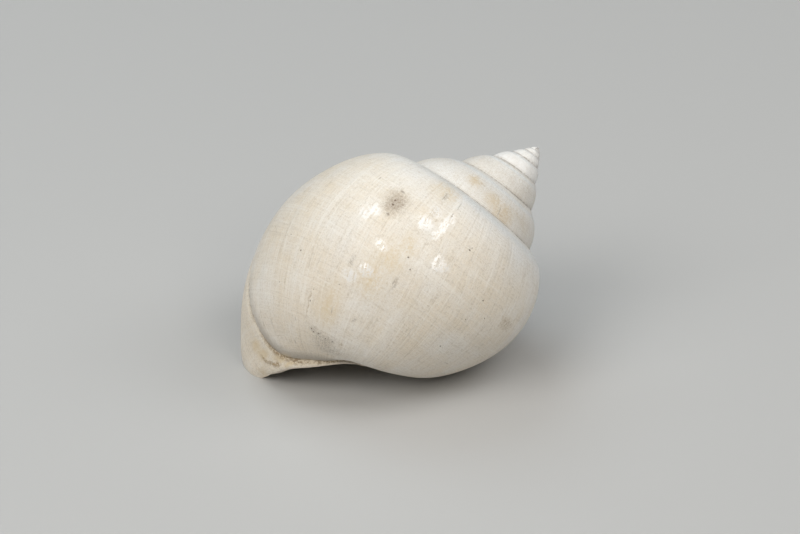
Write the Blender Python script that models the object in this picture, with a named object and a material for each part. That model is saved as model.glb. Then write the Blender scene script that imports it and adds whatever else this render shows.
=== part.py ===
"""Fossil moon snail shell, lying on its aperture as it rests: one grown piece.

Metres, +Z up, with the surface it rests on at z = 0. The shell is a spiral sweep: each section through its
axis is one outline, which is scaled and turned as the shell grew. It is worked out in the shell's own frame,
with the apex at the origin and the axis running down -Z, and then laid down by the object's rotation.
"""

import math

import bmesh
import bpy
import numpy as np
from mathutils import Matrix, Vector

MM = 0.001

# How the shell grew. Turns are counted from the lip, so that older parts have negative turns.
BODY_GROWTH = 1.758  # size of the outline after one turn, over its size before
SPIRE_GROWTH = 1.676
SPIRE_STRETCH = 1.185  # how much longer along the axis the spire's whorls are
SPIRE_FROM = -1.7  # turn at which the body whorl's growth gives way to the spire's
SHOULDER_FROM = -1.2  # turn at which its shoulder gives way to the spire's
GROWTH_BLEND = 0.22  # turns over which growth changes
STRETCH_BLEND = 0.3
WHORLS = 6.4
STEPS_A_TURN = 48

# The outline at turn 0: distance from the axis, and distance below the apex. The suture comes first. It sits
# on the widest line of the whorl before, and the shoulder is measured from it.
BODY_SHOULDER = (3.6 * MM, 1.05 * MM)
SPIRE_SHOULDER = (2.8 * MM, 2.15 * MM)
WIDEST = (21.15 * MM, 26.8 * MM)
OUTLINE_BELOW_WIDEST = (
    (21.0 * MM, 35.65 * MM),
    (17.05 * MM, 44.6 * MM),
    (12.45 * MM, 49.0 * MM),
    (7.9 * MM, 51.1 * MM),  # the groove along the base
)
RIM = (5.7 * MM, 51.9 * MM)  # the edge of the inner lip, beside the groove
OUTLINE_LENGTHS = (0.0, 4.7, 15.6, 24.3, 34.1, 41.3, 45.8)  # along it, from the suture to each point
OUTLINE_STEPS = (2, 3, 4, 5, 4, 3)  # spans between one point and the next
WIDEST_STEP = 5  # spans from the suture to the widest point
# The hollow behind the inner lip, from the rim to the axis.
LIP_HOLLOW = (
    (4.4 * MM, 49.2 * MM),
    (3.1 * MM, 45.2 * MM),
    (1.6 * MM, 40.6 * MM),
    (0.0, 38.0 * MM),
)

# The lip follows the growth lines, which trail from the suture to the base, and turn back at the rim.
LIP_LEAD = 1  # steps by which the suture leads the widest point
LIP_TRAIL = 0.05  # turns by which the base trails the widest point
RIM_TRAIL = 0.145  # more turns, at the rim
RIM_TRAIL_FROM = 0.7  # share of the way to the rim at which that begins
LAST_TURN = 0.05

# The hollow inside the last whorls. Its ring runs a wall's thickness inside this whorl's outline, up the
# columella, and back over the whorl before.
WALL = 1.1 * MM
CALLUS = 0.5 * MM  # what this whorl lays over the one before
COLUMELLA = (
    (6.6 * MM, 46.6 * MM),
    (4.3 * MM, 41.6 * MM),
    (3.6 * MM, 36.0 * MM),
)
CAVITY_OUTER_STEPS = (2, 5, 9, 14, 18, 21)  # the steps of this whorl's outline that its ring follows
CAVITY_INNER_STEPS = (7, 9, 12, 15, 18)  # and of the outline of the whorl before
CAVITY_SIDES = 26
CAVITY_FIRST_TURN = -2.3
CAVITY_LAST_TURN = 0.14
CAVITY_STEPS_A_TURN = 30
CAVITY_TAPER = 0.3  # turns over which its blind end closes
BLIND_END = 0.7  # and by how much
MOUTH_OPENS = (-0.16, -0.08)  # turns over which the columella side draws in to the axis
MOUTH_DRAW = 0.15  # how near to the axis, as a share of its distance

# How it lies: the direction of its axis, its roll about that axis, and where its apex is.
AXIS_AZIMUTH = math.radians(32.6)
AXIS_ELEVATION = math.radians(35.75)
ROLL = math.radians(262.5)
APEX_AT = Vector((20.29 * MM, 9.57 * MM, 26.24 * MM))
TABLE_BLOCK = (0.12, 0.12, 0.03)

SHELL_COLOUR = (0.62, 0.57, 0.49, 1.0)
SHELL_ROUGHNESS = 0.45


def clear_scene():
    for old in list(bpy.data.objects):
        bpy.data.objects.remove(old, do_unlink=True)


def softplus(x):
    return np.logaddexp(0.0, x)


def size_at(turns):
    """The outline's size at a turn, over its size at turn 0."""
    blended = softplus((turns - SPIRE_FROM) / GROWTH_BLEND) - softplus(-SPIRE_FROM / GROWTH_BLEND)
    body_over_spire = math.log(BODY_GROWTH / SPIRE_GROWTH)
    return np.exp(turns * math.log(SPIRE_GROWTH) + body_over_spire * GROWTH_BLEND * blended)


def spire_share(turns, start):
    """1 in the spire and 0 in the body whorl, with a soft change between them."""
    return 1.0 / (1.0 + np.exp((turns - start) / STRETCH_BLEND))


def stretch_at(turns):
    return 1.0 + (SPIRE_STRETCH - 1.0) * spire_share(turns, SPIRE_FROM)


def grown(point, turns):
    """A point of the outline, moved to a turn: distance from the axis, and below the apex."""
    size = size_at(turns)
    return np.array((size * point[0], size * stretch_at(turns) * point[1]))


def natural_spline(knots, steps):
    """How much each knot counts, at each sample of a natural cubic spline through values at the knots."""
    count = len(knots)
    gaps = np.diff(knots)
    bending = np.eye(count)
    loads = np.zeros((count, count))
    for i in range(1, count - 1):
        bending[i, i - 1 : i + 2] = gaps[i - 1], 2.0 * (gaps[i - 1] + gaps[i]), gaps[i]
        loads[i, i - 1 : i + 2] = 6.0 / gaps[i - 1], -6.0 / gaps[i - 1] - 6.0 / gaps[i], 6.0 / gaps[i]
    curvature = np.linalg.solve(bending, loads)
    identity = np.eye(count)
    samples = [identity[0]]
    for i, step_count in enumerate(steps):
        for step in range(1, step_count + 1):
            b = step / step_count
            a = 1.0 - b
            bend = gaps[i] ** 2 / 6.0 * ((a**3 - a) * curvature[i] + (b**3 - b) * curvature[i + 1])
            samples.append(a * identity[i] + b * identity[i + 1] + bend)
    return np.array(samples)


OUTLINE_WEIGHTS = natural_spline(OUTLINE_LENGTHS, OUTLINE_STEPS)
RIM_STEP = len(OUTLINE_WEIGHTS)
AXIS_STEP = RIM_STEP + len(LIP_HOLLOW)


def outline_knots(turns):
    suture = grown(WIDEST, turns - 1.0)
    spire = spire_share(turns, SHOULDER_FROM)
    shoulder = (1.0 - spire) * np.array(BODY_SHOULDER) + spire * np.array(SPIRE_SHOULDER)
    knots = [suture, suture + size_at(turns) * shoulder, grown(WIDEST, turns)]
    knots += [grown(point, turns) for point in OUTLINE_BELOW_WIDEST]
    return np.array(knots)


def outline_point(step, turns):
    """A point of the outer surface at a turn. Steps run from the suture to the rim, and on to the axis."""
    if step == RIM_STEP:
        return grown(RIM, turns)
    if step > RIM_STEP:
        return grown(LIP_HOLLOW[step - RIM_STEP - 1], turns)
    return OUTLINE_WEIGHTS[step] @ outline_knots(turns)


def lip_offset(step):
    """Turns by which the growth line at this step is ahead of the widest point."""
    if step <= WIDEST_STEP:
        return LIP_LEAD / STEPS_A_TURN * (1.0 - step / WIDEST_STEP)
    along = min((step - WIDEST_STEP) / (RIM_STEP - WIDEST_STEP), 1.0)
    rounding = max(0.0, (along - RIM_TRAIL_FROM) / (1.0 - RIM_TRAIL_FROM))
    return -LIP_TRAIL * along - RIM_TRAIL * rounding**3


def in_space(point, turns):
    """Growth runs clockwise, seen from the apex."""
    angle = -2.0 * math.pi * turns
    return Vector((point[0] * math.cos(angle), point[0] * math.sin(angle), -point[1]))


def zip_chains(mesh, first, second):
    """Triangles between two chains of vertices that start and end together."""
    i = j = 0
    while i < len(first) - 1 or j < len(second) - 1:
        ahead = (i + 1) / (len(first) - 1) if i < len(first) - 1 else 2.0
        behind = (j + 1) / (len(second) - 1) if j < len(second) - 1 else 2.0
        if ahead <= behind:
            corners = (first[i], first[i + 1], second[j])
            i += 1
        else:
            corners = (first[i], second[j + 1], second[j])
            j += 1
        if len(set(corners)) == 3:
            mesh.faces.new(corners)


def filled_shell_mesh():
    """The shell as if it were solid: its outer surface, the hollow behind the inner lip, and a plain end."""
    mesh = bmesh.new()
    last_row = round(WHORLS * STEPS_A_TURN)
    rows_a_whorl = STEPS_A_TURN - LIP_LEAD
    first_open_row = last_row - rows_a_whorl
    vertices = {}

    def vertex(row, step):
        if step == 0 and row >= rows_a_whorl:
            return vertex(row - rows_a_whorl, WIDEST_STEP)
        if step == AXIS_STEP and row == last_row:
            return vertex(row - 1, step)
        if (row, step) not in vertices:
            turns = LAST_TURN + (row - last_row) / STEPS_A_TURN + lip_offset(step)
            vertices[row, step] = mesh.verts.new(in_space(outline_point(step, turns), turns))
        return vertices[row, step]

    for row in range(last_row):
        steps = AXIS_STEP if row >= first_open_row else WIDEST_STEP
        for step in range(steps):
            corners = [vertex(row, step), vertex(row + 1, step)]
            corners += [vertex(row + 1, step + 1), vertex(row, step + 1)]
            mesh.faces.new(list(dict.fromkeys(corners)))

    apex = mesh.verts.new((0.0, 0.0, 0.0))
    for row in range(rows_a_whorl):
        mesh.faces.new((apex, vertex(row, 0), vertex(row + 1, 0)))
    for step in range(WIDEST_STEP):
        mesh.faces.new((apex, vertex(0, step), vertex(0, step + 1)))

    outer = [vertex(last_row, step) for step in range(RIM_STEP + 1)]
    inner = [vertex(first_open_row, step) for step in range(WIDEST_STEP, RIM_STEP + 1)]
    zip_chains(mesh, outer, inner)
    outer_end = [vertex(last_row, step) for step in range(RIM_STEP, AXIS_STEP + 1)]
    inner_end = [vertex(first_open_row, step) for step in range(RIM_STEP, AXIS_STEP + 1)]
    inner_end += [vertex(row, AXIS_STEP) for row in range(first_open_row + 1, last_row)]
    zip_chains(mesh, outer_end, inner_end)

    bmesh.ops.recalc_face_normals(mesh, faces=mesh.faces)
    return mesh


def closed_curve(points, sides):
    """Evenly numbered samples of a smooth closed curve through the points."""
    points = np.array(points)
    count = len(points)
    samples = []
    for side in range(sides):
        place = side * count / sides
        i = int(place)
        t = place - i
        before, start, end, after = (points[(i + k) % count] for k in (-1, 0, 1, 2))
        samples.append(
            0.5
            * (
                2.0 * start
                + (end - before) * t
                + (2.0 * before - 5.0 * start + 4.0 * end - after) * t**2
                + (3.0 * start - before - 3.0 * end + after) * t**3
            )
        )
    return np.array(samples)


def smooth_step(start, end, value):
    share = min(max((value - start) / (end - start), 0.0), 1.0)
    return share * share * (3.0 - 2.0 * share)


def wall_inside(turns, thickness, steps):
    """Points of the outline at a turn, moved in by a thickness, square to it."""
    outline = OUTLINE_WEIGHTS @ outline_knots(turns)
    along = np.gradient(outline, axis=0)
    along /= np.linalg.norm(along, axis=1)[:, None]
    moved = outline + thickness * np.stack((-along[:, 1], along[:, 0]), axis=1)
    return moved[list(steps)]


def cavity_ring(turns):
    """The hollow's section at a turn, in the same units as the outline."""
    here = wall_inside(turns, WALL * size_at(turns), CAVITY_OUTER_STEPS)
    before = wall_inside(turns - 1.0, -CALLUS * size_at(turns), CAVITY_INNER_STEPS)
    columella = np.array([grown(point, turns) for point in COLUMELLA])
    columella[:, 0] *= 1.0 - (1.0 - MOUTH_DRAW) * smooth_step(*MOUTH_OPENS, turns)
    ring = np.concatenate((here, columella, before[::-1]))
    ring = closed_curve(ring, CAVITY_SIDES)
    closing = 1.0 - smooth_step(0.0, CAVITY_TAPER, turns - CAVITY_FIRST_TURN)
    centre = ring.mean(axis=0)
    return centre + (ring - centre) * (1.0 - BLIND_END * closing)


def cavity_mesh():
    """The hollow of the last whorls, from its blind end to past the lip."""
    mesh = bmesh.new()
    row_count = round((CAVITY_LAST_TURN - CAVITY_FIRST_TURN) * CAVITY_STEPS_A_TURN)
    rings = []
    for row in range(row_count + 1):
        turns = CAVITY_FIRST_TURN + row / CAVITY_STEPS_A_TURN
        rings.append([mesh.verts.new(in_space(point, turns)) for point in cavity_ring(turns)])
    for ring, next_ring in zip(rings, rings[1:]):
        for side in range(CAVITY_SIDES):
            after = (side + 1) % CAVITY_SIDES
            mesh.faces.new((ring[side], next_ring[side], next_ring[after], ring[after]))
    mesh.faces.new(rings[0])
    mesh.faces.new(rings[-1])
    bmesh.ops.recalc_face_normals(mesh, faces=mesh.faces)
    return mesh


def table_mesh():
    """A block whose top is the surface that the shell rests on."""
    mesh = bmesh.new()
    bmesh.ops.create_cube(mesh, size=1.0)
    bmesh.ops.scale(mesh, vec=TABLE_BLOCK, verts=mesh.verts)
    bmesh.ops.translate(mesh, vec=(0.0, 0.0, -TABLE_BLOCK[2] / 2.0), verts=mesh.verts)
    return mesh


def lying_down():
    """The rotation that lays the shell's frame down: +Z of that frame runs up the axis to the apex."""
    axis = Vector(
        (
            math.cos(AXIS_AZIMUTH) * math.cos(AXIS_ELEVATION),
            math.sin(AXIS_AZIMUTH) * math.cos(AXIS_ELEVATION),
            math.sin(AXIS_ELEVATION),
        )
    )
    above = Vector((0.0, 0.0, 1.0)) - axis * axis.z
    above.normalize()
    x_axis = math.cos(ROLL) * above + math.sin(ROLL) * axis.cross(above)
    y_axis = axis.cross(x_axis)
    return Matrix((x_axis, y_axis, axis)).transposed()


def add_object(name, mesh, rotation=None, location=(0.0, 0.0, 0.0)):
    data = bpy.data.meshes.new(name)
    mesh.to_mesh(data)
    mesh.free()
    new = bpy.data.objects.new(name, data)
    if rotation is not None:
        new.rotation_euler = rotation.to_euler()
    new.location = location
    bpy.context.scene.collection.objects.link(new)
    return new


def cut_away(body, cutter):
    cutter.hide_render = True
    cutter.display_type = "WIRE"
    cut = body.modifiers.new(f"without {cutter.name}", "BOOLEAN")
    cut.operation = "DIFFERENCE"
    cut.object = cutter


def shell_material():
    material = bpy.data.materials.new("chalky shell")
    material.use_nodes = True
    surface = material.node_tree.nodes["Principled BSDF"]
    surface.inputs["Base Color"].default_value = SHELL_COLOUR
    surface.inputs["Roughness"].default_value = SHELL_ROUGHNESS
    surface.inputs["Metallic"].default_value = 0.0
    return material


clear_scene()
laid_down = lying_down()
shell = add_object("shell", filled_shell_mesh(), laid_down, APEX_AT)
shell.data.shade_smooth()
shell.data.materials.append(shell_material())
cut_away(shell, add_object("cavity", cavity_mesh(), laid_down, APEX_AT))
cut_away(shell, add_object("table", table_mesh()))
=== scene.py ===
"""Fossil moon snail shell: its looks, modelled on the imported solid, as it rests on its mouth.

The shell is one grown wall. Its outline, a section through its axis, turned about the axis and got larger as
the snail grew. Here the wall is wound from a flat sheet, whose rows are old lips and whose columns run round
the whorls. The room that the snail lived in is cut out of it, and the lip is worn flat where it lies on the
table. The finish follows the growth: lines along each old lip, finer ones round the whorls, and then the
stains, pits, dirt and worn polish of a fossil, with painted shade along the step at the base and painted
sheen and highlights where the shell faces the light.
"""

from __future__ import annotations

import logging
import math
from dataclasses import dataclass, field
from enum import Enum, IntEnum
from typing import Any, Iterable, Sequence, Union

import bmesh
import bpy
import numpy as np
from mathutils import Matrix, Vector


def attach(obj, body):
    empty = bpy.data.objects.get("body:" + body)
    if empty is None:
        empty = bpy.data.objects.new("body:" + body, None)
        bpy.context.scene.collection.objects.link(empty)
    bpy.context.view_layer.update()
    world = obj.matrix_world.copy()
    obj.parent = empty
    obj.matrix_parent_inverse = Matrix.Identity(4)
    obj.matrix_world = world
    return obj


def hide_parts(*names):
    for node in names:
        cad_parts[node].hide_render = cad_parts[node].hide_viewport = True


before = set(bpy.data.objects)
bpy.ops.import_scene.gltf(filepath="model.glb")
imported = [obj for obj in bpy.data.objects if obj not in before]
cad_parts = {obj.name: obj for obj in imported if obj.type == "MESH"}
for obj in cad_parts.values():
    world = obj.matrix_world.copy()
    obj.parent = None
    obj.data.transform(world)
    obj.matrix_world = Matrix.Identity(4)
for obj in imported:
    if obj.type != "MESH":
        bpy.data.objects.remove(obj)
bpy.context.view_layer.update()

MM = 0.001
GROWTH_MAP = "growth"
EDGE_MAP = "edges"
EDGE_REACH = 9.0  # the edge map says how far an edge is up to this many millimetres
MERGE_WITHIN = 0.0005 * MM  # vertices nearer to each other than this become one
log = logging.getLogger("moon_snail")

Array = np.ndarray


class Finish(IntEnum):
    """Which finish a face of the shell takes: its material index."""

    OUTSIDE = 0
    INSIDE = 1


# ---------------------------------------------------------------------------------------------------------
# Small helpers
# ---------------------------------------------------------------------------------------------------------


def smooth_step(start: float, end: float, value: Array | float) -> Array:
    """Rises softly from 0 at start to 1 at end.

    Args:
        start: Where the rise begins.
        end: Where it ends. It may be less than start, for a fall.
        value: The values to look up.

    Returns:
        The height of the step at each value.
    """
    share = np.clip((np.asarray(value, float) - start) / (end - start), 0.0, 1.0)
    return share * share * (3.0 - 2.0 * share)


def soft_noise(across: Array, along: Array, seed: int) -> Array:
    """Gives smooth random values, about one swell for each unit of distance.

    Args:
        across: First coordinate.
        along: Second coordinate.
        seed: Which pattern.

    Returns:
        Values from -1 to 1.
    """
    size = 256
    table = np.random.default_rng(seed).uniform(-1.0, 1.0, (size, size))
    across, along = np.broadcast_arrays(np.asarray(across, float), np.asarray(along, float))
    i = np.floor(across).astype(int)
    j = np.floor(along).astype(int)
    x = across - i
    y = along - j
    x = x * x * (3.0 - 2.0 * x)
    y = y * y * (3.0 - 2.0 * y)
    near = table[i % size, j % size] * (1.0 - x) + table[(i + 1) % size, j % size] * x
    far = table[i % size, (j + 1) % size] * (1.0 - x) + table[(i + 1) % size, (j + 1) % size] * x
    return near * (1.0 - y) + far * y


def natural_spline(knots: Sequence[float], places: Array) -> Array:
    """Says how much each knot counts at places along a natural cubic spline.

    Args:
        knots: The places of the knots, rising.
        places: Where to sample.

    Returns:
        One row of weights for each place.
    """
    at = np.array(knots, float)
    gaps = np.diff(at)
    count = len(at)
    bending = np.eye(count)
    loads = np.zeros((count, count))
    for i in range(1, count - 1):
        bending[i, i - 1 : i + 2] = gaps[i - 1], 2.0 * (gaps[i - 1] + gaps[i]), gaps[i]
        loads[i, i - 1 : i + 2] = 6.0 / gaps[i - 1], -6.0 / gaps[i - 1] - 6.0 / gaps[i], 6.0 / gaps[i]
    curvature = np.linalg.solve(bending, loads)
    identity = np.eye(count)
    places = np.clip(np.asarray(places, float), at[0], at[-1])
    span = np.clip(np.searchsorted(at, places, side="right") - 1, 0, count - 2)
    ahead = (places - at[span]) / gaps[span]
    back = 1.0 - ahead
    bend = gaps[span] ** 2 / 6.0
    weights = back[:, None] * identity[span] + ahead[:, None] * identity[span + 1]
    weights += (bend * (back**3 - back))[:, None] * curvature[span]
    weights += (bend * (ahead**3 - ahead))[:, None] * curvature[span + 1]
    return weights


# ---------------------------------------------------------------------------------------------------------
# How the shell grew
# ---------------------------------------------------------------------------------------------------------


@dataclass(frozen=True)
class Growth:
    """The law of growth. Turns are counted from the lip, so that older parts have negative turns.

    Args:
        body_rate: Size after one turn over size before, in the body whorl.
        spire_rate: The same in the spire.
        spire_stretch: How much longer along the axis the spire's whorls are.
        spire_from: Turn at which the body whorl gives way to the spire.
        shoulder_from: Turn at which its shoulder gives way to the spire's.
        rate_blend: Turns over which the rate changes.
        shape_blend: Turns over which the stretch and the shoulder change.
    """

    body_rate: float = 1.758
    spire_rate: float = 1.676
    spire_stretch: float = 1.185
    spire_from: float = -1.7
    shoulder_from: float = -1.2
    rate_blend: float = 0.22
    shape_blend: float = 0.3

    def size(self, turns: Array | float) -> Array:
        """Gives the outline's size at each turn, over its size at turn 0."""
        since = np.logaddexp(0.0, (turns - self.spire_from) / self.rate_blend)
        since = since - np.logaddexp(0.0, -self.spire_from / self.rate_blend)
        gain = math.log(self.body_rate / self.spire_rate)
        return np.exp(turns * math.log(self.spire_rate) + gain * self.rate_blend * since)

    def spire_share(self, turns: Array | float, start: float) -> Array:
        """Gives 1 in the spire and 0 in the body whorl, with a soft change at start."""
        return 1.0 / (1.0 + np.exp((turns - start) / self.shape_blend))

    def grown(self, point: Sequence[float], turns: Array | float) -> Array:
        """Moves a point of the outline from turn 0 to other turns.

        Args:
            point: Distance from the axis and distance below the apex, at turn 0.
            turns: The turns to move it to.

        Returns:
            The same two distances at each turn, in the last axis.
        """
        size = self.size(turns)
        stretch = 1.0 + (self.spire_stretch - 1.0) * self.spire_share(turns, self.spire_from)
        return np.stack((size * point[0], size * stretch * point[1]), axis=-1)


@dataclass(frozen=True)
class Lie:
    """How the shell lies on the table.

    Args:
        azimuth: Compass direction in which the axis points up, in degrees.
        elevation: Its slope, in degrees.
        roll: How far the shell is rolled about its axis, in degrees.
        apex: Where the apex is, in millimetres.
    """

    azimuth: float = 32.6
    elevation: float = 35.75
    roll: float = 262.5
    apex: tuple[float, float, float] = (20.29, 9.57, 26.24)

    def turned(self) -> Array:
        """Gives the rotation from the shell's own frame, whose +Z runs up the axis, to the table's."""
        azimuth, elevation, roll = (math.radians(a) for a in (self.azimuth, self.elevation, self.roll))
        level = math.cos(elevation)
        axis = Vector((math.cos(azimuth) * level, math.sin(azimuth) * level, math.sin(elevation)))
        above = (Vector((0.0, 0.0, 1.0)) - axis * axis.z).normalized()
        x_axis = math.cos(roll) * above + math.sin(roll) * axis.cross(above)
        return np.array(Matrix((x_axis, axis.cross(x_axis), axis)).transposed())

    def place(self, section: Array, turns: Array | float) -> Array:
        """Puts points of the outline in space.

        Args:
            section: Distance from the axis and distance below the apex, in the last axis.
            turns: The turn of each point. Growth runs clockwise, seen from the apex.

        Returns:
            Their places on the table, in millimetres.
        """
        angle = -2.0 * math.pi * np.asarray(turns)
        radius = section[..., 0]
        own = np.stack((radius * np.cos(angle), radius * np.sin(angle), -section[..., 1]), axis=-1)
        return own @ self.turned().T + np.array(self.apex)


@dataclass(frozen=True)
class Outline:
    """The whorl's outline: distances from the axis and below the apex at turn 0, in millimetres.

    A place on it is its distance from the suture along the outline of turn 0, so that every place is a line
    that runs round the whorls.

    Args:
        growth: The law that moves it.
        body_shoulder: The shoulder, measured from the suture, in the body whorl.
        spire_shoulder: The same in the spire.
        widest: The widest point. The next whorl's suture sits on it.
        below: The points from there to the groove beside the inner lip.
        rim: The edge of the inner lip.
        rim_round: How far from the rim, on each side, its rounding begins.
        hollow: The hollow behind the rim, down to the axis.
        knots: Places of the suture, the shoulder and the points after it.
    """

    growth: Growth = field(default_factory=Growth)
    body_shoulder: tuple[float, float] = (3.6, 1.05)
    spire_shoulder: tuple[float, float] = (2.8, 2.15)
    widest: tuple[float, float] = (21.15, 26.8)
    below: tuple[tuple[float, float], ...] = ((21.0, 35.65), (17.05, 44.6), (12.45, 49.0), (7.9, 51.1))
    rim: tuple[float, float] = (5.7, 51.9)
    rim_round: float = 0.6
    hollow: tuple[tuple[float, float], ...] = ((4.4, 49.2), (3.1, 45.2), (1.6, 40.6), (0.0, 38.0))
    knots: tuple[float, ...] = (0.0, 4.7, 15.6, 24.3, 34.1, 41.3, 45.8)

    @property
    def widest_place(self) -> float:
        """The place of the widest point."""
        return self.knots[2]

    @property
    def groove_place(self) -> float:
        """The place of the groove beside the inner lip."""
        return self.knots[-1]

    @property
    def rim_place(self) -> float:
        """The place of the rim."""
        return self.groove_place + math.dist(self.below[-1], self.rim)

    def _hollow_lengths(self) -> Array:
        """Gives the distance of each point of the hollow from the rim, the rim first."""
        chain = (self.rim, *self.hollow)
        return np.concatenate(((0.0,), np.cumsum([math.dist(a, b) for a, b in zip(chain, chain[1:])])))

    @property
    def axis_place(self) -> float:
        """The place at which the hollow behind the rim reaches the axis."""
        return self.rim_place + float(self._hollow_lengths()[-1])

    def _behind(self, places: Array) -> Array:
        """Gives the section at turn 0 past the groove: over the rounded rim and down the hollow."""
        groove = np.array(self.below[-1])
        rim = np.array(self.rim)
        chain = np.array((self.rim, *self.hollow))
        lengths = self._hollow_lengths()
        past = places - self.rim_place
        outer = rim + (groove - rim) * (-past / math.dist(self.below[-1], self.rim))[:, None]
        inner = natural_spline(lengths, past) @ chain
        before = rim + (groove - rim) * self.rim_round / math.dist(self.below[-1], self.rim)
        after = natural_spline(lengths, np.array((self.rim_round,))) @ chain
        share = np.clip((past + self.rim_round) / (2.0 * self.rim_round), 0.0, 1.0)[:, None]
        rounded = (1.0 - share) ** 2 * before + 2.0 * share * (1.0 - share) * rim + share**2 * after
        near = np.abs(past)[:, None] < self.rim_round
        return np.where(near, rounded, np.where(past[:, None] < 0.0, outer, inner))

    def section(self, turns: Array, places: Array) -> Array:
        """Gives the outline at turns and places.

        Args:
            turns: One turn for each row and column.
            places: One place for each column.

        Returns:
            Distance from the axis and distance below the apex, for each row and column.
        """
        result = np.empty((*turns.shape, 2))
        weights = natural_spline(self.knots, places)
        beyond = self._behind(places)
        for column, (place, weight) in enumerate(zip(places, weights)):
            at = turns[:, column]
            if place > self.groove_place:
                result[:, column] = self.growth.grown(beyond[column], at)
                continue
            suture = self.growth.grown(self.widest, at - 1.0)
            spire = self.growth.spire_share(at, self.growth.shoulder_from)[:, None]
            shoulder = (1.0 - spire) * np.array(self.body_shoulder) + spire * np.array(self.spire_shoulder)
            points = [suture, suture + self.growth.size(at)[:, None] * shoulder]
            points += [self.growth.grown(point, at) for point in (self.widest, *self.below)]
            result[:, column] = sum(share * point for share, point in zip(weight, points))
        return result

    def arc(self, turns: Array | float) -> Array:
        """Gives the distance round the widest line from turn 0, in millimetres: negative behind the lip."""
        steps = np.linspace(-8.0, 1.0, 9001)
        speed = 2.0 * math.pi * self.widest[0] * self.growth.size(steps)
        length = np.concatenate(((0.0,), np.cumsum(0.5 * (speed[1:] + speed[:-1]) * np.diff(steps))))
        return np.interp(turns, steps, length - np.interp(0.0, steps, length))


# ---------------------------------------------------------------------------------------------------------
# What the surface does that the plain law of growth doesn't
# ---------------------------------------------------------------------------------------------------------


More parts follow.
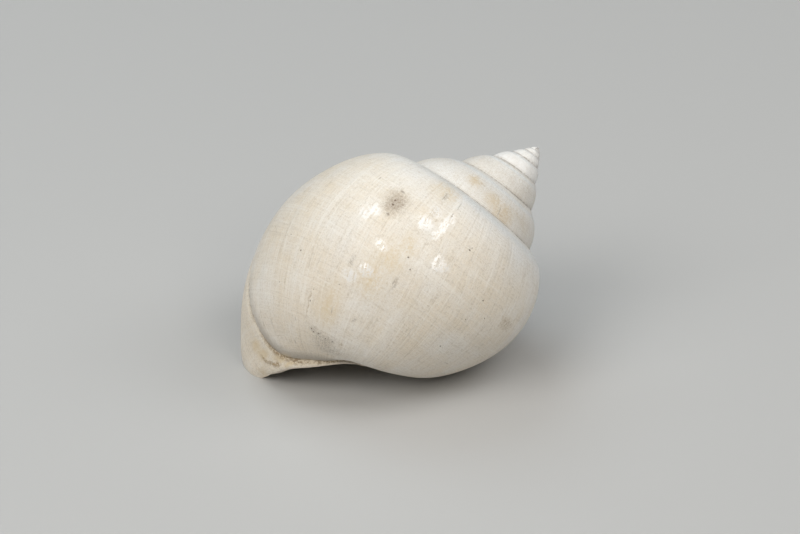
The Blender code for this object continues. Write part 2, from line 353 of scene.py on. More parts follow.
@dataclass(frozen=True)
class Relief:
    """Swells, growth lines and the step at the base, as heights over the plain surface in millimetres.

    Args:
        outline: The whorl's outline.
        line_lean: Turns by which a growth line falls behind for each millimetre of outline.
        swells: Height, length round the shell, length along the outline and seed of each broad swell.
        lines: The same of the growth lines.
        sheath: Turns and places of the line where the body's glaze stops, above the band at the base.
        step_turn: Turn at the suture of the line where growth once stopped.
        step_height: How far the shell behind that line stands proud.
        crease: Along the sheath line, from old to young: turn, depth, and width of the body's slope into it.
        rim_sweep: Along the inner lip: turn, how far it stands out, and how far up the base that reaches.
        tip: The swell of the blunt tip: turn, place, height, and half widths in turns and millimetres.
    """

    outline: Outline
    line_lean: float = 0.00191
    swells: tuple[tuple[float, float, float, int], ...] = ((0.075, 11.0, 9.0, 1), (0.03, 4.0, 6.0, 2))
    lines: tuple[tuple[float, float, float, int], ...] = ((0.022, 2.6, 30.0, 3), (0.011, 1.1, 22.0, 4))
    sheath: tuple[tuple[float, float], ...] = (
        (-0.60, 47.2),
        (-0.403, 47.1),
        (-0.345, 47.05),
        (-0.279, 46.95),
        (-0.242, 46.3),
        (-0.206, 44.5),
        (-0.191, 42.8),
        (-0.180, 40.5),
        (-0.169, 36.75),
        (-0.155, 33.7),
        (-0.145, 31.3),
        (-0.125, 28.4),
        (-0.100, 25.5),
        (-0.060, 21.5),
        (0.000, 15.5),
        (0.080, 8.0),
    )
    step_turn: float = -0.357
    step_height: float = 0.06
    crease: tuple[tuple[float, float, float], ...] = (
        (-0.60, 0.04, 3.0),
        (-0.55, 0.08, 3.0),
        (-0.50, 0.25, 3.2),
        (-0.42, 0.50, 3.2),
        (-0.33, 0.50, 2.6),
        (-0.26, 0.34, 1.6),
        (-0.22, 0.18, 0.8),
        (-0.18, 0.09, 0.5),
        (0.08, 0.07, 0.4),
    )
    rim_sweep: tuple[tuple[float, float, float], ...] = (
        (-0.80, 0.0, 8.0),
        (-0.60, -0.05, 9.0),
        (-0.55, -0.12, 8.0),
        (-0.52, -0.30, 7.0),
        (-0.50, -0.62, 6.5),
        (-0.475, -1.00, 6.0),
        (-0.45, -0.85, 6.0),
        (-0.42, -0.50, 5.0),
        (-0.38, -0.12, 3.0),
        (-0.353, 0.12, 2.2),
        (-0.325, 0.27, 1.8),
        (-0.29, 0.34, 1.6),
        (-0.23, 0.30, 1.6),
        (-0.193, 0.21, 1.7),
        (-0.17, 0.05, 1.8),
        (-0.148, -0.27, 2.0),
        (-0.10, -1.05, 2.9),
        (-0.05, -0.50, 3.6),
        (0.08, 0.10, 4.0),
    )
    tip: tuple[float, float, float, float, float] = (-0.07, 43.0, 0.62, 0.05, 3.2)

    def growth_line(self, turns: Array, places: Array) -> Array:
        """Gives the turn at which the lip that runs through each point met the suture."""
        return turns + self.line_lean * np.minimum(places, self.outline.rim_place)

    def past_sheath(self, turns: Array, places: Array) -> Array:
        """Gives the distance past the sheath line, on to the band, in millimetres: negative above it."""
        samples, smoothed_over, part_length = 400, 15, 20
        knots = np.array(self.sheath)
        fine_turns = np.linspace(knots[0, 0], knots[-1, 0], samples)
        fine_places = np.interp(fine_turns, knots[:, 0], knots[:, 1])
        smooth = np.ones(smoothed_over) / smoothed_over
        margin = smoothed_over // 2
        fine_places[margin:-margin] = np.convolve(fine_places, smooth, mode="valid")
        line = self._spot(fine_turns, fine_places)
        spots = self._spot(turns, places)
        away = np.full(turns.shape, np.inf)
        for start in range(0, len(line), part_length):
            part = line[start : start + part_length]
            gap = np.linalg.norm(spots[..., None, :] - part, axis=-1).min(axis=-1)
            away = np.minimum(away, gap)
        past = places > np.interp(turns, fine_turns, fine_places)
        return np.where(past, away, -away)

    def _spot(self, turns: Array, places: Array) -> Array:
        """Gives points on the plain surface that stand for turns and places, for measuring between them."""
        inwards, downwards = 0.93, 0.35  # the way from the groove to the rim, roughly
        weights = natural_spline(self.outline.knots, places.ravel())
        plain = weights[:, 2:] @ np.array((self.outline.widest, *self.outline.below))
        plain += weights[:, :2] @ np.array((self.outline.growth.grown(self.outline.widest, -1.0),) * 2)
        past = np.maximum(places.ravel() - self.outline.groove_place, 0.0)
        plain[:, 0] -= inwards * past
        plain[:, 1] += downwards * past
        size = self.outline.growth.size(turns.ravel())
        angle = -2.0 * math.pi * turns.ravel()
        radius = plain[:, 0] * size
        spot = np.stack((radius * np.cos(angle), radius * np.sin(angle), -plain[:, 1] * size), axis=-1)
        return spot.reshape(*turns.shape, 3)

    def height(self, turns: Array, places: Array) -> Array:
        """Gives how far each point stands above the plain surface.

        Args:
            turns: One turn for each row and column.
            places: One place for each column.

        Returns:
            Heights in millimetres, outwards.
        """
        places = np.broadcast_to(places, turns.shape)
        size = self.outline.growth.size(turns)
        line = self.growth_line(turns, places)
        arc = self.outline.arc(line)
        swells, lines = (
            sum(height * soft_noise(arc / long, places / tall, seed) for height, long, tall, seed in waves)
            for waves in (self.swells, self.lines)
        )
        lines *= 0.75 + 0.5 * soft_noise(arc / 13.0, places / 10.0, 5)
        heights = (swells + lines) * np.sqrt(size)
        behind = self.outline.arc(self.step_turn) - arc
        stopped = smooth_step(-0.25, 0.25, behind) * smooth_step(9.0, 1.0, behind)
        heights += self.step_height * (stopped - 0.5 * smooth_step(-4.0, 0.0, behind) * (behind < 0.0))
        heights *= smooth_step(0.0, 2.5, places)
        return heights + self._base_crease(turns, places)

    def _base_crease(self, turns: Array, places: Array) -> Array:
        """Gives the heights of the crease along the sheath line, and of the blunt tip beside it.

        The body slopes softly into the crease and the band rises steeply out of it. Near the lip it is only a
        fine line, and further back it is a deep hollow.
        """
        heights = np.zeros(turns.shape)
        rim = self.outline.rim_place
        over_rim = rim + 2.5
        near = (turns > self.rim_sweep[0][0]) & (places < over_rim)
        block = np.ix_(near.any(axis=1), near.any(axis=0))
        turn = turns[block]
        place = places[block]
        past = self.past_sheath(turn, place)
        knots = np.array(self.crease)
        depth, slope = (np.interp(turn, knots[:, 0], knots[:, k]) for k in (1, 2))
        body_side = np.exp(-((past / slope) ** 2))
        band_side = np.exp(-((past / (0.3 + 0.12 * slope)) ** 2))
        crease = -depth * np.where(past < 0.0, body_side, band_side)
        crease -= 0.12 * np.exp(-(((past - 0.2) / 0.3) ** 2))
        knots = np.array(self.rim_sweep)
        sweep, reach = (np.interp(turn, knots[:, 0], knots[:, k]) for k in (1, 2))
        swept = smooth_step(0.0, 1.0, (place - rim + reach) / reach) * smooth_step(over_rim, rim, place)
        crease += sweep * swept
        at_turn, at_place, height, wide, tall = self.tip
        crease += height * np.exp(-(((turn - at_turn) / wide) ** 2) - ((place - at_place) / tall) ** 2)
        heights[block] = np.where(near[block], crease, 0.0)
        return heights


# ---------------------------------------------------------------------------------------------------------
# Working on meshes
# ---------------------------------------------------------------------------------------------------------


class Workbench:
    """The mesh tools, each of which leaves its object active and in object mode."""

    @staticmethod
    def clear() -> None:
        """Deselects every object."""
        bpy.ops.object.select_all(action="DESELECT")
        bpy.context.view_layer.objects.active = None

    @staticmethod
    def take(piece: bpy.types.Object) -> None:
        """Makes one object the only selected one, and the active one."""
        Workbench.clear()
        piece.select_set(True)
        bpy.context.view_layer.objects.active = piece

    @staticmethod
    def sheet(name: str, rows: int, columns: int) -> bpy.types.Object:
        """Adds a flat sheet with one vertex at each whole number of rows and columns.

        Args:
            name: The object's name.
            rows: Spans along X.
            columns: Spans along Y.

        Returns:
            The sheet, with its first corner at the origin.
        """
        Workbench.clear()
        middle = (rows / 2.0, columns / 2.0, 0.0)
        counts = {"x_subdivisions": rows, "y_subdivisions": columns}
        bpy.ops.mesh.primitive_grid_add(**counts, size=2.0, location=middle)
        sheet = bpy.context.object
        sheet.name = name
        sheet.data.name = name
        sheet.scale = (middle[0], middle[1], 1.0)
        sheet.data.uv_layers.remove(sheet.data.uv_layers[0])
        bpy.ops.object.transform_apply(location=True, rotation=True, scale=True)
        return sheet

    @staticmethod
    def cells(piece: bpy.types.Object) -> Array:
        """Gives the row and the column of each vertex of a flat sheet."""
        places = np.empty(len(piece.data.vertices) * 3)
        piece.data.vertices.foreach_get("co", places)
        return np.rint(places.reshape(-1, 3)[:, :2]).astype(int)

    @staticmethod
    def move(piece: bpy.types.Object, places: Array) -> None:
        """Moves each vertex to its place, given in millimetres."""
        piece.data.vertices.foreach_set("co", (places * MM).ravel())
        piece.data.update()

    @staticmethod
    def write_map(piece: bpy.types.Object, name: str, values: Array, cells: Array, apex: int = -1) -> None:
        """Gives each face corner its two values, from the row and column of its vertex.

        Args:
            piece: The sheet.
            name: The map's name.
            values: Two values for each row and column.
            cells: The row and column of each vertex.
            apex: The vertex that is in no row, if there is one.
        """
        corners = np.empty(len(piece.data.loops), int)
        piece.data.loops.foreach_get("vertex_index", corners)
        flat = values[cells[corners, 0], cells[corners, 1]]
        flat[corners == apex] = values[0, 0]
        existing = piece.data.uv_layers.get(name) or piece.data.uv_layers.new(name=name)
        existing.data.foreach_set("uv", flat.astype(np.float32).ravel())

    @staticmethod
    def cut(piece: bpy.types.Object, cutter: bpy.types.Object) -> None:
        """Takes the cutter's volume out of the piece, and removes the cutter."""
        Workbench.take(piece)
        boolean = piece.modifiers.new(f"without {cutter.name}", "BOOLEAN")
        boolean.operation = "DIFFERENCE"
        boolean.solver = "EXACT"
        boolean.object = cutter
        bpy.ops.object.modifier_apply(modifier=boolean.name)
        bpy.data.objects.remove(cutter, do_unlink=True)


@dataclass(frozen=True)
class Wall:
    """The shell as if it were solid, wound from a flat sheet.

    Args:
        outline: The whorl's outline.
        relief: The heights over it.
        lie: How it lies.
        whorls: Turns from the first row to the last.
        rows_a_turn: Rows in each turn.
        suture_lead: Rows by which the suture is ahead of the widest point.
        last_turn: Turn of the widest point in the last row. The table cuts it off.
        spire_columns: Columns from the suture to the widest place.
        body_columns: Columns from there to where the base turns in.
        base_from: That place.
        base_columns: Columns from there to the groove.
        rim_columns: Columns from the groove over the rim.
        hollow_columns: Columns from there to the axis.
        base_trail: Turns by which the base is behind the widest point in each row.
        rim_trail: More turns, at the rim.
        rim_trail_from: Share of the way to the rim at which that begins.
        smooth_after: How far behind the rim the relief dies away, in millimetres.
    """

    outline: Outline
    relief: Relief
    lie: Lie
    whorls: float = 6.4
    rows_a_turn: int = 288
    suture_lead: int = 6
    last_turn: float = 0.05
    spire_columns: int = 24
    body_columns: int = 46
    base_from: float = 41.3
    base_columns: int = 15
    rim_columns: int = 12
    hollow_columns: int = 12
    base_trail: float = 0.05
    rim_trail: float = 0.145
    rim_trail_from: float = 0.7
    smooth_after: float = 6.0

    @property
    def last_row(self) -> int:
        """The number of the last row."""
        return round(self.whorls * self.rows_a_turn)

    @property
    def rows_a_whorl(self) -> int:
        """Rows from one row to the one whose suture lies on its widest point."""
        return self.rows_a_turn - self.suture_lead

    @property
    def first_open_row(self) -> int:
        """The first row whose base isn't covered by the next whorl."""
        return self.last_row - self.rows_a_whorl

    def places(self) -> Array:
        """Gives the place of each column."""
        outline = self.outline
        over_rim = outline.rim_place + outline.rim_round
        spans = (
            (0.0, outline.widest_place, self.spire_columns),
            (outline.widest_place, self.base_from, self.body_columns),
            (self.base_from, outline.groove_place, self.base_columns),
            (outline.groove_place, over_rim, self.rim_columns),
            (over_rim, outline.axis_place, self.hollow_columns),
        )
        spans = [np.linspace(start, end, count, endpoint=False) for start, end, count in spans]
        return np.concatenate((*spans, (outline.axis_place,)))

    def turns(self, rows: Array, places: Array) -> Array:
        """Gives the turn of each row and column.

        Args:
            rows: Row numbers.
            places: Places of the columns.

        Returns:
            Turns, with the rows first.
        """
        outline = self.outline
        before = self.suture_lead / self.rows_a_turn * (1.0 - places / outline.widest_place)
        along = (places - outline.widest_place) / (outline.rim_place - outline.widest_place)
        along = np.clip(along, 0.0, 1.0)
        rounding = np.maximum(0.0, (along - self.rim_trail_from) / (1.0 - self.rim_trail_from))
        after = -self.base_trail * along - self.rim_trail * rounding**3
        offset = np.where(places <= outline.widest_place, before, after)
        return self.last_turn + (rows[:, None] - self.last_row) / self.rows_a_turn + offset[None, :]

    def spots(self) -> tuple[Array, Array, Array]:
        """Works out where the sheet's rows and columns go.

        Returns:
            The place in space, the growth map and the edge map of each row and column.
        """
        places = self.places()
        rows = np.arange(self.last_row + 1)
        turns = self.turns(rows, places)
        turns[-1, -1] = turns[-2, -1]
        plain = self.lie.place(self.outline.section(turns, places), turns)
        down = np.gradient(plain, axis=1)
        round_ = np.gradient(plain, axis=0)
        outwards = np.cross(round_, down)
        length = np.linalg.norm(outwards, axis=-1, keepdims=True)
        outwards = outwards / np.maximum(length, 1e-9)
        shown = smooth_step(self.outline.rim_place + self.smooth_after, self.outline.rim_place, places)
        heights = self.relief.height(turns, places) * shown
        spots = plain + heights[..., None] * outwards
        widest = self.spire_columns
        for row in range(self.rows_a_whorl, self.last_row + 1):
            spots[row, 0] = spots[row - self.rows_a_whorl, widest]
        spots[-1, -1] = spots[-2, -1]
        all_places = np.broadcast_to(places, turns.shape)
        arc = self.outline.arc(self.relief.growth_line(turns, all_places))
        past = np.full(turns.shape, -EDGE_REACH)
        last = slice(self.first_open_row, None)
        measured = self.relief.past_sheath(turns[last], all_places[last])
        past[last] = np.clip(measured, -EDGE_REACH, EDGE_REACH)
        growth_map = np.stack((arc, all_places), axis=-1)
        seam = all_places.copy()
        covered = slice(0, self.first_open_row)
        seam[covered] = np.minimum(seam[covered], np.maximum(self.outline.widest_place - seam[covered], 0.0))
        edge_map = np.stack((past, seam * self.outline.growth.size(turns)), axis=-1)
        return spots, growth_map, edge_map

    def build(self) -> bpy.types.Object:
        """Winds the sheet, and closes it at the apex and at its last row.

        Returns:
            The closed wall, filled.
        """
        columns = len(self.places()) - 1
        wall = Workbench.sheet("moon_snail_shell", self.last_row, columns)
        self._drop_hidden(wall)
        spots, growth_map, edge_map = self.spots()
        self._close_ends(wall)
        cells = Workbench.cells(wall)
        apex = len(cells) - 1
        row, column = cells[:, 0], cells[:, 1]
        places = spots[row, column]
        places[apex] = self.lie.apex
        for name, values in ((GROWTH_MAP, growth_map), (EDGE_MAP, edge_map)):
            Workbench.write_map(wall, name, values, cells, apex)
        Workbench.move(wall, places)
        Workbench.take(wall)
        bpy.ops.object.mode_set(mode="EDIT")
        bpy.ops.mesh.select_all(action="SELECT")
        bpy.ops.mesh.remove_doubles(threshold=MERGE_WITHIN)
        bpy.ops.mesh.dissolve_degenerate(threshold=0.0001 * MM)
        bpy.ops.mesh.normals_make_consistent(inside=False)
        bpy.ops.object.mode_set(mode="OBJECT")
        return wall

    def _drop_hidden(self, wall: bpy.types.Object) -> None:
        """Deletes the part of the sheet that later whorls cover."""
        cells = Workbench.cells(wall)
        corners = np.empty(len(wall.data.loops), int)
        wall.data.loops.foreach_get("vertex_index", corners)
        of_face = cells[corners].reshape(-1, 4, 2)
        rows, columns = of_face[..., 0], of_face[..., 1]
        hidden = (rows.min(axis=1) < self.first_open_row) & (columns.max(axis=1) > self.spire_columns)
        Workbench.take(wall)
        bpy.ops.object.mode_set(mode="EDIT")
        bpy.ops.mesh.select_mode(type="FACE")
        bpy.ops.mesh.select_all(action="DESELECT")
        bpy.ops.object.mode_set(mode="OBJECT")
        wall.data.polygons.foreach_set("select", hidden)
        bpy.ops.object.mode_set(mode="EDIT")
        bpy.ops.mesh.delete(type="FACE")
        bpy.ops.mesh.select_mode(type="VERT")
        bpy.ops.object.mode_set(mode="OBJECT")

    def _close_ends(self, wall: bpy.types.Object) -> None:
        """Adds the apex, the last vertex, with its fan, and the faces that close the last row."""
        cells = Workbench.cells(wall)
        mesh = bmesh.new()
        mesh.from_mesh(wall.data)
        mesh.verts.ensure_lookup_table()
        at = {(int(row), int(column)): vertex for (row, column), vertex in zip(cells, mesh.verts)}
        columns = len(self.places()) - 1
        rim = columns - self.hollow_columns - self.rim_columns // 2
        widest = self.spire_columns
        apex = mesh.verts.new((0.0, 0.0, 0.0))
        top = [at[row, 0] for row in range(self.rows_a_whorl + 1)]
        top[-1] = at[0, widest]
        start = [at[0, column] for column in range(widest + 1)]
        for edge in (top, start):
            for near, far in zip(edge, edge[1:]):
                mesh.faces.new((apex, near, far))
        first, last = self.first_open_row, self.last_row
        outer = [at[first, widest]] + [at[last, column] for column in range(1, rim + 1)]
        inner = [at[first, column] for column in range(widest, rim + 1)]
        self._zip(mesh, outer, inner)
        outer = [at[last, column] for column in range(rim, columns)] + [at[last - 1, columns]]
        inner = [at[first, column] for column in range(rim, columns + 1)]
        inner += [at[row, columns] for row in range(first + 1, last)]
        self._zip(mesh, outer, inner)
        mesh.to_mesh(wall.data)
        mesh.free()

    @staticmethod
    def _zip(mesh: bmesh.types.BMesh, first: list, second: list) -> None:
        """Adds triangles between two chains of vertices."""
        i = j = 0
        while i < len(first) - 1 or j < len(second) - 1:
            ahead = (i + 1) / (len(first) - 1) if i < len(first) - 1 else 2.0
            behind = (j + 1) / (len(second) - 1) if j < len(second) - 1 else 2.0
            if ahead <= behind:
                corners = (first[i], first[i + 1], second[j])
                i += 1
            else:
                corners = (first[i], second[j + 1], second[j])
                j += 1
            if len(set(corners)) == 3:
                mesh.faces.new(corners)


@dataclass(frozen=True)
class Room:
    """The hollow that the snail lived in, as the solid that is cut out of the filled wall.

    Args:
        outline: The whorl's outline.
        relief: The heights over it. The hollow keeps clear of its dips.
        lie: How the shell lies.
        wall: How thick the wall is, in millimetres.
        callus: How much each whorl lays over the one before.
        columella: The pillar's side, from the base upwards.
        outer_places: Places of this whorl's outline that the hollow follows.
        inner_places: Places of the outline of the whorl before.
        sides: Vertices round each ring.
        first_turn: Where it ends inside the shell.
        last_turn: Past the lip.
        rows_a_turn: Rings in each turn.
        taper: Turns over which its blind end closes.
        blind_end: And by how much.
        mouth_opens: Turns over which the pillar side draws in to the axis.
        mouth_draw: How near to the axis, as a share of its distance.
        slope_over: How far along the outline, each way, its slope is measured.
    """

    outline: Outline
    relief: Relief
    lie: Lie
    wall: float = 1.1
    callus: float = 0.5
    columella: tuple[tuple[float, float], ...] = ((6.6, 46.6), (4.3, 41.6), (3.6, 36.0))
    outer_places: tuple[float, ...] = (4.7, 15.6, 24.3, 34.1, 41.3, 45.8)
    inner_places: tuple[float, ...] = (19.95, 24.3, 30.18, 35.9, 41.3)
    sides: int = 72
    first_turn: float = -2.3
    last_turn: float = 0.14
    rows_a_turn: int = 84
    taper: float = 0.3
    blind_end: float = 0.7
    mouth_opens: tuple[float, float] = (-0.16, -0.08)
    mouth_draw: float = 0.15
    slope_over: float = 0.6

    def _inside(self, turn: float, thickness: float, places: Sequence[float]) -> Array:
        """Gives points of the outline, moved in by a thickness, square to it."""
        middle = np.array(places)
        points = []
        for shift in (-self.slope_over, 0.0, self.slope_over):
            at = np.clip(middle + shift, 0.0, self.outline.groove_place)
            points.append(self.outline.section(np.full((1, len(at)), turn), at)[0])
        along = points[2] - points[0]
        along /= np.linalg.norm(along, axis=1)[:, None]
        if thickness > 0.0:
            dips = np.minimum(self.relief.height(np.full((1, len(middle)), turn), middle)[0], 0.0)
            thickness = (thickness - dips)[:, None]
        return points[1] + thickness * np.stack((-along[:, 1], along[:, 0]), axis=1)

    @staticmethod
    def _closed_curve(points: Array, sides: int) -> Array:
        """Gives evenly numbered samples of a smooth closed curve through the points."""
        count = len(points)
        place = np.arange(sides) * count / sides
        i = place.astype(int)
        t = (place - i)[:, None]
        before, start, end, after = (points[(i + k) % count] for k in (-1, 0, 1, 2))
        return 0.5 * (
            2.0 * start
            + (end - before) * t
            + (2.0 * before - 5.0 * start + 4.0 * end - after) * t**2
            + (3.0 * start - before - 3.0 * end + after) * t**3
        )

    def ring(self, turn: float) -> Array:
        """Gives the hollow's section at a turn: distances from the axis and below the apex."""
        size = float(self.outline.growth.size(turn))
        here = self._inside(turn, self.wall * size, self.outer_places)
        before = self._inside(turn - 1.0, -self.callus * size, self.inner_places)
        columella = np.array([self.outline.growth.grown(point, turn) for point in self.columella])
        columella[:, 0] *= 1.0 - (1.0 - self.mouth_draw) * smooth_step(*self.mouth_opens, turn)
        ring = self._closed_curve(np.concatenate((here, columella, before[::-1])), self.sides)
        closing = 1.0 - smooth_step(0.0, self.taper, turn - self.first_turn)
        centre = ring.mean(axis=0)
        return centre + (ring - centre) * (1.0 - self.blind_end * closing)

    def build(self) -> bpy.types.Object:
        """Rolls a sheet into the hollow's tube and closes both ends.

        Returns:
            The solid to cut out.
        """
        rows = round((self.last_turn - self.first_turn) * self.rows_a_turn)
        room = Workbench.sheet("room", rows, self.sides)
        cells = Workbench.cells(room)
        turns = self.first_turn + np.arange(rows + 1) / self.rows_a_turn
        rings = np.stack([self.ring(turn) for turn in turns])
        rings = np.concatenate((rings, rings[:, :1]), axis=1)
        spots = self.lie.place(rings, np.broadcast_to(turns[:, None], rings.shape[:2]))
        round_ring = np.linalg.norm(np.diff(rings, axis=1), axis=-1)
        round_ring = np.concatenate((np.zeros((rows + 1, 1)), np.cumsum(round_ring, axis=1)), axis=1)
        arc = np.broadcast_to(self.outline.arc(turns)[:, None], round_ring.shape)
        growth_map = np.stack((arc, round_ring), axis=-1)
        edge_map = np.stack((np.full(arc.shape, -EDGE_REACH), round_ring), axis=-1)
        for name, values in ((GROWTH_MAP, growth_map), (EDGE_MAP, edge_map)):
            Workbench.write_map(room, name, values, cells)
        Workbench.move(room, spots[cells[:, 0], cells[:, 1]])
        Workbench.take(room)
        bpy.ops.object.mode_set(mode="EDIT")
        bpy.ops.mesh.select_all(action="SELECT")
        bpy.ops.mesh.remove_doubles(threshold=MERGE_WITHIN)
        bpy.ops.mesh.fill_holes(sides=0)
        bpy.ops.mesh.normals_make_consistent(inside=False)
        bpy.ops.object.mode_set(mode="OBJECT")
        return room


@dataclass(frozen=True)
class Shell:
    """The shell: its wall, with the room cut out of it and the lip worn flat on the table.

    Args:
        outline: The whorl's outline.
        relief: The heights over it.
        lie: How it lies.
        table: Size of the block whose top is the table, in metres.
        worn_at: What the growth map says where the table has worn the lip flat.
        sharp: Angle over which an edge is sharp enough to have worn round, in degrees.
        worn: How far a sharp edge is smoothed towards its neighbours, from 0 to 1.
        sliver: Edges shorter than this are closed up, in metres.
        crease: Angle up to which faces are shaded as one, in degrees.
    """

    outline: Outline
    relief: Relief
    lie: Lie
    table: tuple[float, float, float] = (0.12, 0.12, 0.03)
    worn_at: tuple[float, float] = (0.0, 20.0)
    sharp: float = 38.0
    worn: float = 0.5
    sliver: float = 0.002 * MM
    crease: float = 50.0

    def build(self) -> bpy.types.Object:
        """Models the whole shell.

        Returns:
            The finished mesh, with outside and inside faces.
        """
        shell = Wall(self.outline, self.relief, self.lie).build()
        log.info("wall: %d faces, wound from the apex to the lip", len(shell.data.polygons))
        room = Room(self.outline, self.relief, self.lie).build()
        log.info("room: %d faces, cut out of the wall", len(room.data.polygons))
        for piece, finish in ((shell, Finish.OUTSIDE), (room, Finish.INSIDE)):
            for slot in ("outside", "inside"):
                piece.data.materials.append(bpy.data.materials.get(slot) or bpy.data.materials.new(slot))
            indices = np.full(len(piece.data.polygons), int(finish))
            piece.data.polygons.foreach_set("material_index", indices)
        Workbench.cut(shell, self._table())
        Workbench.cut(shell, room)
        self._wear(shell)
        shell.data.polygons.foreach_set("use_smooth", np.ones(len(shell.data.polygons), bool))
        Workbench.take(shell)
        bpy.ops.object.shade_smooth_by_angle(angle=math.radians(self.crease))
        names = [layer.name for layer in shell.data.uv_layers]
        for name in set(names) - {GROWTH_MAP, EDGE_MAP}:
            shell.data.uv_layers.remove(shell.data.uv_layers[name])
        return shell

    def _table(self) -> bpy.types.Object:
        """Adds a block whose top is the table."""
        Workbench.clear()
        bpy.ops.mesh.primitive_cube_add(size=1.0, location=(0.0, 0.0, -self.table[2] / 2.0))
        block = bpy.context.object
        block.name = "table"
        block.scale = self.table
        bpy.ops.object.transform_apply(location=True, rotation=True, scale=True)
        block.data.uv_layers.remove(block.data.uv_layers[0])
        for name, values in ((GROWTH_MAP, self.worn_at), (EDGE_MAP, (-EDGE_REACH, EDGE_REACH))):
            layer = block.data.uv_layers.new(name=name)
            layer.data.foreach_set("uv", np.tile(np.array(values, np.float32), len(block.data.loops)))
        return block

    def _wear(self, shell: bpy.types.Object) -> None:
        """Rounds the sharp edges of the lip, as years in the ground do, and closes the slivers it leaves."""
        Workbench.take(shell)
        bpy.ops.object.mode_set(mode="EDIT")
        bpy.ops.mesh.select_mode(type="EDGE")
        bpy.ops.mesh.select_all(action="DESELECT")
        bpy.ops.mesh.edges_select_sharp(sharpness=math.radians(self.sharp))
        bpy.ops.mesh.select_mode(type="VERT")
        bpy.ops.mesh.vertices_smooth(factor=self.worn)
        bpy.ops.mesh.select_all(action="SELECT")
        bpy.ops.mesh.dissolve_degenerate(threshold=self.sliver)
        bpy.ops.mesh.delete_loose()
        bpy.ops.mesh.select_all(action="DESELECT")
        open_only = {"use_wire": False, "use_multi_face": False, "use_verts": False}
        bpy.ops.mesh.select_non_manifold(extend=False, **open_only)
        bpy.ops.mesh.fill_holes(sides=0)
        bpy.ops.mesh.select_all(action="DESELECT")
        bpy.ops.object.mode_set(mode="OBJECT")
        self._drop_idle_corners(shell)

    @staticmethod
    def _drop_idle_corners(shell: bpy.types.Object) -> None:
        """Takes out the corners at which only two edges meet, which would leave a mesh of triangles open."""
        ends = np.empty(len(shell.data.edges) * 2, np.int32)
        shell.data.edges.foreach_get("vertices", ends)
        idle = np.bincount(ends, minlength=len(shell.data.vertices)) == 2
        shell.data.vertices.foreach_set("select", idle)
        bpy.ops.object.mode_set(mode="EDIT")
        bpy.ops.mesh.dissolve_verts()
        bpy.ops.object.mode_set(mode="OBJECT")
        log.info("lip: worn round, %d idle corners taken out", int(idle.sum()))


# ---------------------------------------------------------------------------------------------------------
# Finishes
# ---------------------------------------------------------------------------------------------------------


@dataclass(frozen=True)
class Value:
    """A number that changes over a surface, written in sums like any other number.

    Args:
        bench: Where its nodes are.
        socket: The socket that gives it.
    """

    bench: "NodeBench"
    socket: bpy.types.NodeSocket

    def __add__(self, other: "Value | float") -> "Value":
        """Adds."""
        return self.bench.math("ADD", self, other)

    __radd__ = __add__

    def __sub__(self, other: "Value | float") -> "Value":
        """Subtracts another."""
        return self.bench.math("SUBTRACT", self, other)

    def __rsub__(self, other: "Value | float") -> "Value":
        """Subtracts this from another."""
        return self.bench.math("SUBTRACT", other, self)

    def __mul__(self, other: "Value | float") -> "Value":
        """Multiplies."""
        return self.bench.math("MULTIPLY", self, other)

    __rmul__ = __mul__

    def __truediv__(self, other: "Value | float") -> "Value":
        """Divides by another."""
        return self.bench.math("DIVIDE", self, other)

    def __rtruediv__(self, other: "Value | float") -> "Value":
        """Divides another by this."""
        return self.bench.math("DIVIDE", other, self)

    def __neg__(self) -> "Value":
        """Turns the sign."""
        return self.bench.math("MULTIPLY", self, -1.0)

    def step(self, start: float, end: float) -> "Value":
        """Rises softly from 0 at start to 1 at end, or falls where end is the lower."""
        settings = {"interpolation_type": "SMOOTHSTEP"}
        inputs = {"Value": self, "From Min": min(start, end), "From Max": max(start, end)}
        node = self.bench.node("ShaderNodeMapRange", settings, inputs)
        rise = Value(self.bench, node.outputs["Result"])
        return rise if start < end else 1.0 - rise

    def lowest(self, other: "Value | float") -> "Value":
        """Gives the lower of two."""
        return self.bench.math("MINIMUM", self, other)

    def highest(self, other: "Value | float") -> "Value":
        """Gives the higher of two."""
        return self.bench.math("MAXIMUM", self, other)


Colour = tuple[float, float, float]
Input = Union[Value, bpy.types.NodeSocket, float, Sequence[float]]


